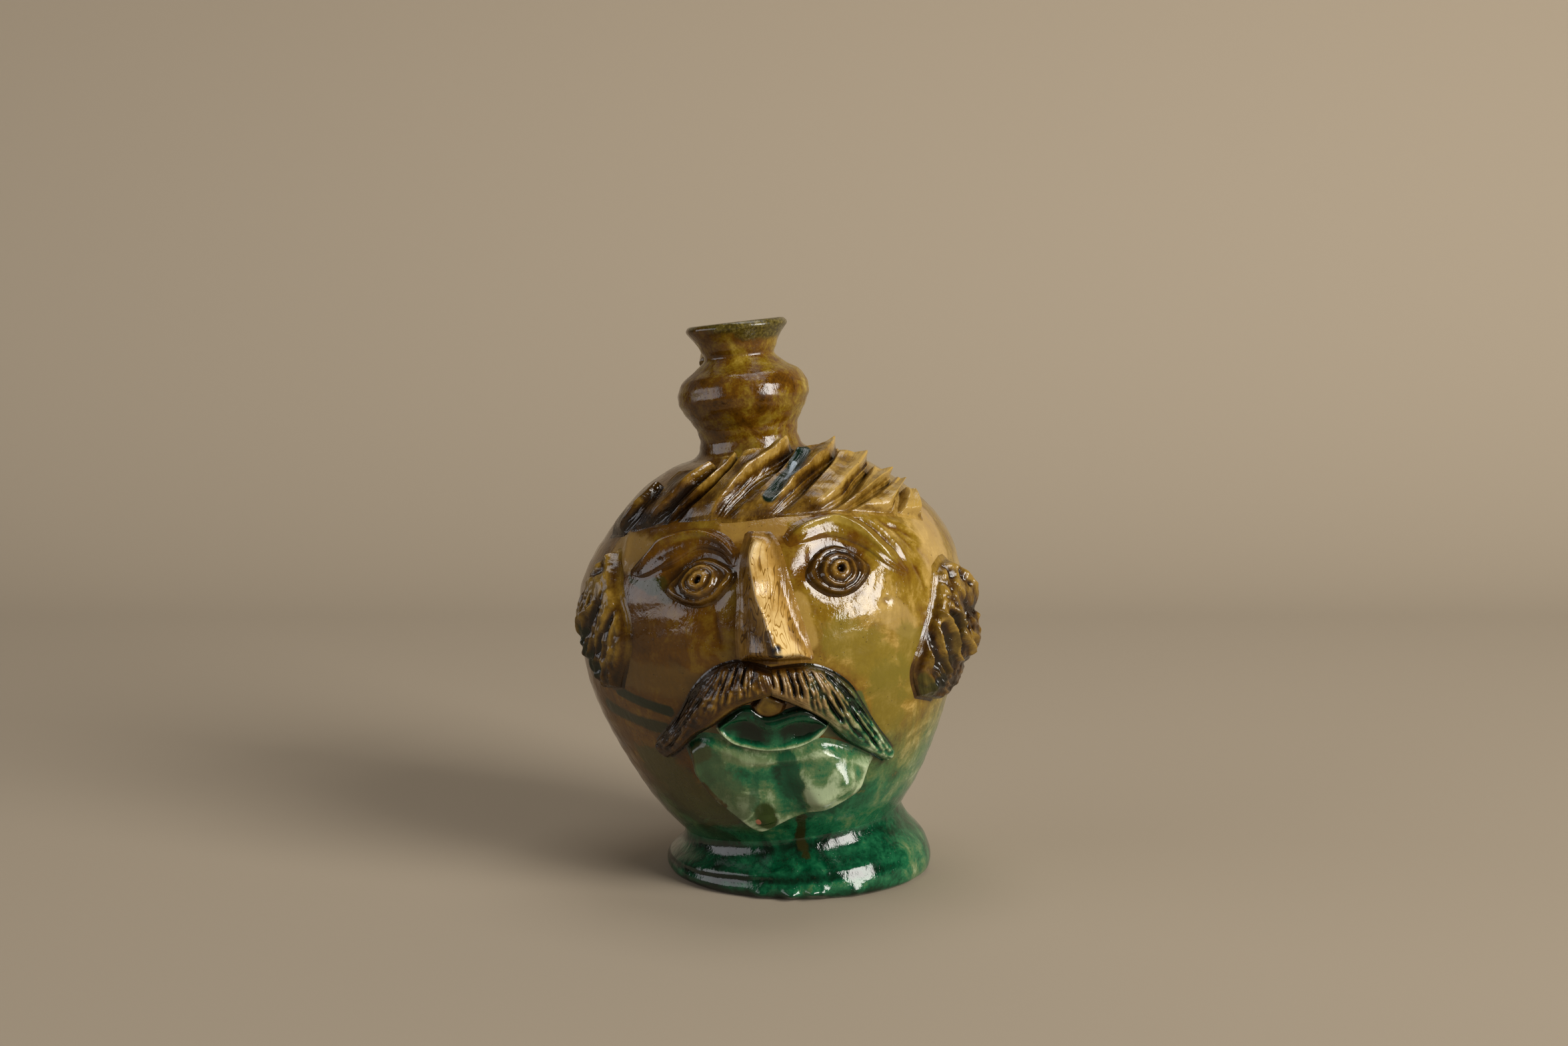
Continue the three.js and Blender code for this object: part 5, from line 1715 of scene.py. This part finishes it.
@dataclass
class Mouth:
    """The mouth, a shallow dish with a cupid's bow and a thick lower rim, and the oval above it."""

    lip: float = 3.4
    hollow: float = 2.5
    near: tuple = (
        (-17.8, 0.362), (-16.6, 0.341), (-13.1, 0.318), (-4.3, 0.296), (4.9, 0.296), (11.2, 0.312),
        (14.7, 0.338),
    )
    far: tuple = (
        (-17.8, 0.37), (-13.7, 0.395), (-8, 0.412), (-2.5, 0.384), (6.8, 0.395), (11.5, 0.375), (15, 0.346),
    )
    cuts: tuple[Cut, ...] = (
        Cut(((-16, 0.386), (-11.8, 0.387), (-7.8, 0.389), (-5, 0.381), (-1.9, 0.368), (3.1, 0.375),
             (7.5, 0.37), (12.5, 0.356)), 0.9, 0.2, 0.1),
        Cut(((-14.5, 0.345), (-8, 0.325), (-4, 0.335)), 1.6, -0.5),
        Cut(((3, 0.335), (7, 0.322), (11, 0.34)), 1.6, -0.5),
    )
    oval_near: tuple = ((-6.8, 0.412), (-5.4, 0.392), (-2.2, 0.383), (1.2, 0.392), (2.4, 0.412))
    oval_far: tuple = ((-6.8, 0.418), (-5.2, 0.43), (-3.4, 0.452), (0.8, 0.432), (2.4, 0.418))

    def make(self, potter: Potter) -> None:
        """Builds and glazes the mouth and the oval.

        Args:
            potter: Keeps the head and the glazes.
        """
        potter.press("mouth", GREEN_GLAZE, Slab(
            self.near, self.far, (140, 72), self.relief, rim=0.8, soft=(0.5, 0.2, 0.5, 0.5), slip_width=1.8,
            cuts=self.cuts, edge_pool=-0.1, cavity=1.2, spread=2, thicker=self.thicker,
        ))
        potter.press("philtrum", OVAL_GLAZE, Slab(
            self.oval_near, self.oval_far, (60, 44), self.oval, rim=1.6, soft=(0.6, 0.3, 0.6, 0.6),
            slip_width=1.3, edge_pool=0.5,
        ))

    def relief(self, at: SlabPoints) -> Array:
        """The dish: a narrow lower rim and an upper lip round a wide bowl with a soft lump in its middle.

        Args:
            at: Where the points are.

        Returns:
            The heights.
        """
        along, across, inset, ground = at
        rim = bell(inset - 0.9, 0.8) * ease(across, 0.85, 0.6)
        upper = ease(across, 0.7, 0.9)
        bowl = np.clip(1 - (2 * across / 0.88 - 1) ** 2, 0, 1) * np.clip(1 - (2 * along - 1) ** 4, 0, 1)
        lump = 0.9 * bell(along - 0.53, 0.06) * ease(across, 0.05, 0.45) * (1 - upper)
        floor = self.lip - 0.6 - self.hollow * bowl * (1 - upper)
        return floor + 0.5 * rim + lump - 1.3 * upper + 0.2 * clay_noise(ground, 4, 81)

    def thicker(self, at: SlabPoints) -> Array:
        """How the glaze lies: thick in the bowl, thin on the lower rim.

        Args:
            at: Where the points are.

        Returns:
            How much thicker it lies.
        """
        along, across, inset, _ = at
        bowl = 0.3 * ease(across, 0.15, 0.45) - 0.3 * bell(along - 0.53, 0.06) * ease(across, 0.2, 0.6)
        return bowl + 0.45 * ease(across, 0.72, 0.84) - 1.1 * ease(inset, 2.0, 0.8) * ease(across, 0.5, 0.2)

    def oval(self, at: SlabPoints) -> Array:
        """The oval between moustache and mouth, dished below a raised upper edge.

        Args:
            at: Where the points are.

        Returns:
            The heights.
        """
        _, across, inset, ground = at
        edge = 1.3 * ease(across, 0.55, 0.9) + 0.3 * ease(across, 0.2, 0)
        return 2.7 + edge - 1.1 * ease(inset, 0.5, 2.4) + 0.3 * clay_noise(ground, 3, 82)


@dataclass
class Chin:
    """The pointed plate under the mouth."""

    thick: float = 6.0
    thin: float = 1.2
    near: tuple = (
        (-30.2, 0.31), (-29.3, 0.243), (-22.7, 0.16), (-12.6, 0.084), (1.4, 0.11), (15.5, 0.14),
        (26.8, 0.165), (31.4, 0.22),
    )
    far: tuple = (
        (-29.4, 0.325), (-24, 0.345), (-16, 0.332), (-8, 0.296), (4, 0.292), (13, 0.3), (22, 0.27),
        (30.6, 0.232),
    )
    cuts: tuple[Cut, ...] = (
        Cut(((4, 0.162), (13.5, 0.189), (24, 0.232)), 6.0, 5.0),
        Cut(((-20, 0.26), (-15, 0.19), (-10, 0.15)), 6.0, 0.7),
        Cut(((0, 0.27), (0.5, 0.22), (1.5, 0.17)), 3.0, -0.7),
        Cut(((-14.1, 0.293), (-7, 0.279), (0.8, 0.271), (7.9, 0.277), (13, 0.292)), 2.0, 0.45, 0.3),
        Cut(((-12, 0.262), (0.8, 0.25), (11, 0.262)), 1.8, -0.4, 0.3),
        Cut(((-28.8, 0.305), (-29, 0.275), (-28, 0.247)), 1.7, 0.7),
        Cut(((-25.6, 0.225), (-24.4, 0.194), (-21.8, 0.16)), 1.3, 0.6),
        Cut(((-8.6, 0.135), (-7.9, 0.112)), 2.6, 0.8),
        Cut(((8, 0.165), (16, 0.185), (24, 0.2)), 1.4, 0.5),
    )

    def make(self, potter: Potter) -> None:
        """Builds and glazes the chin.

        Args:
            potter: Keeps the head and the glazes.
        """
        potter.press("chin", MINT_GLAZE, Slab(
            self.near, self.far, (140, 84), self.relief, rim=1.8, soft=(0.15, 1, 0.9, 0.8), slip_width=2.2,
            slip_height=0.3, edge_pool=0.1, cavity=1.0, cuts=self.cuts, thicker=self.thicker,
        ))

    def relief(self, at: SlabPoints) -> Array:
        """The plate's height, thickest along its lower edge.

        Args:
            at: Where the points are.

        Returns:
            The heights.
        """
        along, across, inset, ground = at
        body = (self.thick - self.thin) * swell(0.08 + 0.84 * along, 0.35) * (1 - 0.78 * across)
        body = body + 1.4 * np.abs(along - 0.52) * (1 - across) - 0.7 * bell(along - 0.52, 0.1)
        dents = 0.6 * clay_noise(ground, 11, 91) + 0.22 * clay_noise(ground, 4, 92)
        return self.thin + body + dents * ease(inset, 0, 2)

    def thicker(self, at: SlabPoints) -> Array:
        """How the glaze lies: thin on the right facet, a painted highlight, and low in the middle, thick
        elsewhere and thicker on the left, which is painted shade.

        Args:
            at: Where the points are.

        Returns:
            How much thicker it lies.
        """
        along, across, _, _ = at
        # painted highlight: the right facet is painted paler where the lamp falls on it
        right = -0.35 * ease(along, 0.5, 0.62) * ease(across, 0.98, 0.7)
        low = -0.3 * bell(along - 0.42, 0.14) * ease(across, 0.5, 0.15)
        # painted shade: the left part is painted darker
        left = 0.35 * ease(along, 0.4, 0.2)
        return right + low + left - 0.15 * ease(across, 0.75, 0.95) * ease(along, 0.9, 0.7)


@dataclass
class Ears:
    """Two thick flaps with finger grooves that fan down."""

    thick: float = 6.5
    thin: float = 1.4
    finger: float = 3.3  # between the ridges that the fingers left
    ridge: float = 0.9
    left: tuple = (
        ((-54.9, 0.801), (-50.5, 0.762), (-46.2, 0.699), (-43.4, 0.644), (-43.2, 0.585), (-46.0, 0.527),
         (-50, 0.47)),
        ((-57, 0.808), (-60, 0.768), (-62, 0.709), (-63, 0.643), (-62, 0.577), (-59, 0.51), (-55, 0.466)),
    )
    right: tuple = (
        ((62, 0.69), (57.5, 0.672), (54.5, 0.63), (51.3, 0.575), (47.1, 0.503), (44, 0.43), (48, 0.36)),
        ((65, 0.69), (71, 0.652), (75, 0.598), (76, 0.525), (74, 0.451), (69, 0.377), (58, 0.334)),
    )
    left_cuts: tuple[Cut, ...] = (
        Cut(((-52.9, 0.699), (-52.1, 0.682), (-55.4, 0.638), (-57.8, 0.61), (-61.5, 0.58)), 1.69, -1.7, 0.2),
        Cut(((-46.8, 0.686), (-47.1, 0.665), (-49.7, 0.623), (-51.8, 0.597), (-52.8, 0.573), (-57, 0.545)),
            1.69, -1.7, 0.2),
        Cut(((-42.0, 0.672), (-43.2, 0.643), (-43.8, 0.62)), 1.3, -0.85),
        Cut(((-47.5, 0.571), (-50.8, 0.549), (-56.5, 0.512)), 1.56, -1.19),
        Cut(((-44.5, 0.62), (-46.5, 0.59), (-49, 0.57)), 1.3, -0.595),
        Cut(((-59.5, 0.716), (-62.5, 0.695), (-64, 0.67)), 2.08, -1.19, 0.1),
        Cut(((-53.7, 0.691), (-54.5, 0.675), (-58.8, 0.647), (-61.6, 0.622)), 0.99, 1.65),
        Cut(((-49.2, 0.686), (-48.9, 0.665), (-51.0, 0.622), (-53.4, 0.6)), 0.9, 1.5),
        Cut(((-47.2, 0.59), (-48.9, 0.562), (-53.6, 0.528)), 0.9, 1.35),
        Cut(((-57.6, 0.773), (-55.4, 0.752), (-58.2, 0.737), (-61.8, 0.728)), 1.17, -1.02, 0.05),
        Cut(((-57.6, 0.773), (-61.2, 0.765), (-63.2, 0.745), (-61.8, 0.728)), 1.17, -0.85, 0.05),
        Cut(((-48.6, 0.745), (-46.2, 0.72), (-43.6, 0.69)), 1.26, 1.35),
        Cut(((-57, 0.555), (-59, 0.535), (-60, 0.51)), 3.12, -1.105),
    )
    right_cuts: tuple[Cut, ...] = (
        Cut(((49.6, 0.608), (47.5, 0.584), (45.8, 0.565), (43.9, 0.53), (42.6, 0.503), (41.5, 0.466)), 0.72,
            1.5, 0.1),
        Cut(((49.8, 0.606), (52.0, 0.573), (55.7, 0.541), (59.0, 0.491), (59.6, 0.456), (64.0, 0.429)), 0.81,
            2.25, 0.08),
        Cut(((50.1, 0.565), (51.3, 0.514), (52.5, 0.477), (54.6, 0.445), (57.2, 0.405)), 0.81, 1.95, 0.15),
        Cut(((47.0, 0.55), (47.8, 0.512), (48.1, 0.471), (49.1, 0.436)), 0.81, 1.5, 0.2),
        Cut(((58.0, 0.571), (61.4, 0.536), (62.4, 0.495), (67.4, 0.46), (70.3, 0.436)), 0.9, 2.25, 0.1),
        Cut(((48.6, 0.545), (49.5, 0.482), (51.6, 0.421)), 1.56, -1.53, 0.2),
        Cut(((52.3, 0.55), (55.0, 0.499), (56.2, 0.451), (59, 0.415)), 1.69, -1.7, 0.2),
        Cut(((56.3, 0.572), (59.8, 0.519), (60.8, 0.488), (65, 0.447)), 1.69, -1.87, 0.2),
        Cut(((47.6, 0.575), (46.0, 0.528), (45.0, 0.47)), 1.43, -1.19, 0.2),
        Cut(((65, 0.59), (66.5, 0.556), (66, 0.52), (69, 0.49)), 1.82, -1.53, 0.15),
        Cut(((55.4, 0.694), (56.5, 0.682), (58, 0.662)), 1.69, -1.87, 0.15),
        Cut(((59.6, 0.692), (60.4, 0.673), (61.8, 0.654), (61.5, 0.632)), 1.69, -1.7, 0.15),
        Cut(((66, 0.66), (67.0, 0.632), (70.9, 0.601)), 1.82, -1.53, 0.15),
        Cut(((52, 0.65), (54, 0.62), (57, 0.59)), 1.17, -0.68),
        Cut(((56, 0.65), (58, 0.625), (60, 0.6)), 1.04, -0.595),
        Cut(((64, 0.545), (72, 0.54), (78, 0.54)), 2.34, -1.53, 0.1),
        Cut(((64, 0.425), (70, 0.412), (76, 0.41)), 2.86, -1.36, 0.1),
        Cut(((68, 0.625), (74, 0.6), (77, 0.585)), 2.34, 1.8, 0.1),
        Cut(((66, 0.49), (72, 0.475), (76, 0.46)), 2.34, 1.8, 0.1),
        Cut(((51.3, 0.392), (53.2, 0.396)), 2.88, 2.1, 0),
    )

    def make(self, potter: Potter) -> None:
        """Builds and glazes both ears.

        Args:
            potter: Keeps the head and the glazes.
        """
        for name, (near, far), cuts, glaze in (
            ("ear_left", self.left, self.left_cuts, LEFT_EAR_GLAZE),
            ("ear_right", self.right, self.right_cuts, RIGHT_EAR_GLAZE),
        ):
            potter.press(name, glaze, Slab(
                near, far, (190, 120), self.relief, rim=1.8, soft=(0.9, 0, 1, 0.3), slip_width=2.2,
                cavity=0.8, edge_pool=0.1, spread=1.6, thinnest=-0.7, cuts=cuts, thicker=self.thicker,
            ))

    def relief(self, at: SlabPoints) -> Array:
        """The height of an ear, from its front edge to its back one.

        Args:
            at: Where the points are.

        Returns:
            The heights.
        """
        along, across, inset, ground = at
        body = (self.thick - self.thin) * (0.35 + 0.65 * across**0.7) * swell(0.05 + 0.9 * along, 0.4)
        torn = 0.5 * clay_noise(ground, 6, 101) + 0.4 * clay_noise(ground, 2.6, 102)
        torn = torn + 0.3 * clay_noise(ground, 1.2, 103)
        right = math.copysign(1, ground[..., 0].mean())  # 1 on the right ear and -1 on the left one
        x, y, z = np.moveaxis(ground, -1, 0)
        spread = (0.9 * np.hypot(x, y) * np.arctan2(x, -y) - 0.2 * y + 0.42 * right * z) / self.finger
        fingers = np.cos(2 * math.pi * (spread + 0.7 * clay_noise(ground, 9, 104)))
        fingers = np.clip(0.5 + 0.5 * fingers, 0, 1) ** 1.6 * ease(along, 0.2, 0.45) * ease(along, 1.0, 0.85)
        fingers = fingers * (0.7 + 0.9 * clay_noise(ground, 7, 105)) * ease(across, 0.05, 0.3)
        return self.thin + body + (torn + self.ridge * fingers) * ease(inset, 0, 1.5)

    def thicker(self, at: SlabPoints) -> Array:
        """How the glaze lies: it ran down into the lobe."""
        along, _, inset, _ = at
        return 0.15 * ease(along, 0.3, 0.5) + 0.6 * ease(along, 0.72, 0.92) - 0.35 * ease(inset, 1.5, 0.3)


def edge_loop(near: Sequence[Place], far: Sequence[Place]) -> Array:
    """The closed edge of a pressed piece, as places."""
    t = np.linspace(0, 1, 40)
    return np.concatenate([catmull(near, t), catmull(far, t)[::-1], [near[0]]])


FACE_EDGES = [
    *(edge_loop(*half) for half in (Moustache().left, Moustache().right, Ears().left, Ears().right)),
    *(edge_loop(part.near, part.far) for part in (Mouth(), Chin())),
    catmull(Nose().near, np.linspace(0, 1, 40)),
]


@dataclass
class Studio:
    """A plain pale floor and backdrop, soft light and the camera."""

    pale: Colour = (0.33, 0.273, 0.2)
    dim: Colour = (0.07, 0.055, 0.04)  # beyond the light
    dim_near: Place = (-650, -230)  # where it turns pale, from the viewer's side
    dim_left: Place = (-1700, -800)  # and from the viewer's left
    camera_place: Point = (-0.0055, -0.706, 0.200)
    pitch: float = 5.98  # degrees below level
    lens: float = 45.0
    sensor: float = 36.0
    room: Colour = (0.95, 0.84, 0.68)
    room_strength: float = 0.08
    aim: Point = (0, 0, 0.1)  # what the lamps face
    # each lamp's name, place, size, watts and colour
    lamps: tuple = (
        ("key", (1.8, -1.42, 0.94), (1.14, 1.76), 98, (1, 0.965, 0.91)),
        ("fill", (-2.6, -0.8, 0.95), (2.8, 1.5), 28, (0.98, 0.97, 1)),
        ("top", (0.1, 0.25, 1.8), (1.0, 0.8), 8, (1, 1, 1)),
    )

    def make(self) -> None:
        """Builds the stage, the lamps and the camera."""
        self.cove()
        for lamp in self.lamps:
            self.lamp(*lamp)
        world = bpy.data.worlds.new("studio")
        world.use_nodes = True
        background = world.node_tree.nodes["Background"]
        background.inputs["Color"].default_value = (*self.room, 1)
        background.inputs["Strength"].default_value = self.room_strength
        bpy.context.scene.world = world
        camera = bpy.data.objects.new("camera", bpy.data.cameras.new("camera"))
        camera.location = self.camera_place
        camera.rotation_euler = (math.radians(90 - self.pitch), 0, 0)
        camera.data.lens = self.lens
        camera.data.sensor_width = self.sensor
        bpy.context.scene.collection.objects.link(camera)
        bpy.context.scene.camera = camera
        bpy.context.scene.view_settings.view_transform = "Standard"

    def cove(self) -> None:
        """A floor that curves up into a backdrop."""
        bend, back, wide, tall = 0.5, 1.1, 4.0, 3.0
        turn = np.linspace(0, math.pi / 2, 24)
        curved = zip(back - bend + bend * np.sin(turn), bend - bend * np.cos(turn))
        profile = [(-wide, 0), *curved, (back, tall)]
        points = [(x, y, z) for y, z in profile for x in (-wide, wide)]
        faces = [(2 * i, 2 * i + 1, 2 * i + 3, 2 * i + 2) for i in range(len(profile) - 1)]
        mesh = bpy.data.meshes.new("cove")
        mesh.from_pydata(points, [], faces)
        mesh.shade_smooth()
        cove = bpy.data.objects.new("cove", mesh)
        bpy.context.scene.collection.objects.link(cove)
        paint = Paint("pale_backdrop")
        place = paint.millimetres()
        near, left = paint.axis(place, "Y"), paint.axis(place, "X")
        lit = paint.eased(near, *self.dim_near) * paint.eased(left, *self.dim_left)
        colour = paint.blend(lit, self.dim, self.pale)
        shader = paint.node("BsdfPrincipled", {}, {"Base Color": colour, "Roughness": 0.9})
        paint.node("OutputMaterial", {}, {"Surface": shader})
        mesh.materials.append(paint.material)

    def lamp(self, name: str, place: Point, size: Place, watts: float, colour: Colour) -> None:
        """A rectangular soft lamp that faces the jug.

        Args:
            name: The lamp's name.
            place: Where it stands, in metres.
            size: Its width and height.
            watts: Its power.
            colour: Its colour.
        """
        light = bpy.data.lights.new(name, "AREA")
        light.shape = "RECTANGLE"
        light.size, light.size_y = size
        light.energy = watts
        light.color = colour
        lamp = bpy.data.objects.new(name, light)
        lamp.location = place
        lamp.rotation_euler = (Vector(self.aim) - Vector(place)).to_track_quat("-Z", "Y").to_euler()
        bpy.context.scene.collection.objects.link(lamp)


def main() -> None:
    """Builds the studio and the jug."""
    logging.basicConfig(level=logging.INFO, format="%(name)s: %(message)s")
    Studio().make()
    potter = Potter()
    for part in (Foot, Belly, Neck, StrapHandle, Hair, Brows, Nose, Moustache, Mouth, Chin, Ears):
        part().make(potter)
    for eye in EYES:
        potter.press(eye.name, EYE_GLAZE, eye)


if __name__ == "__main__":
    main()
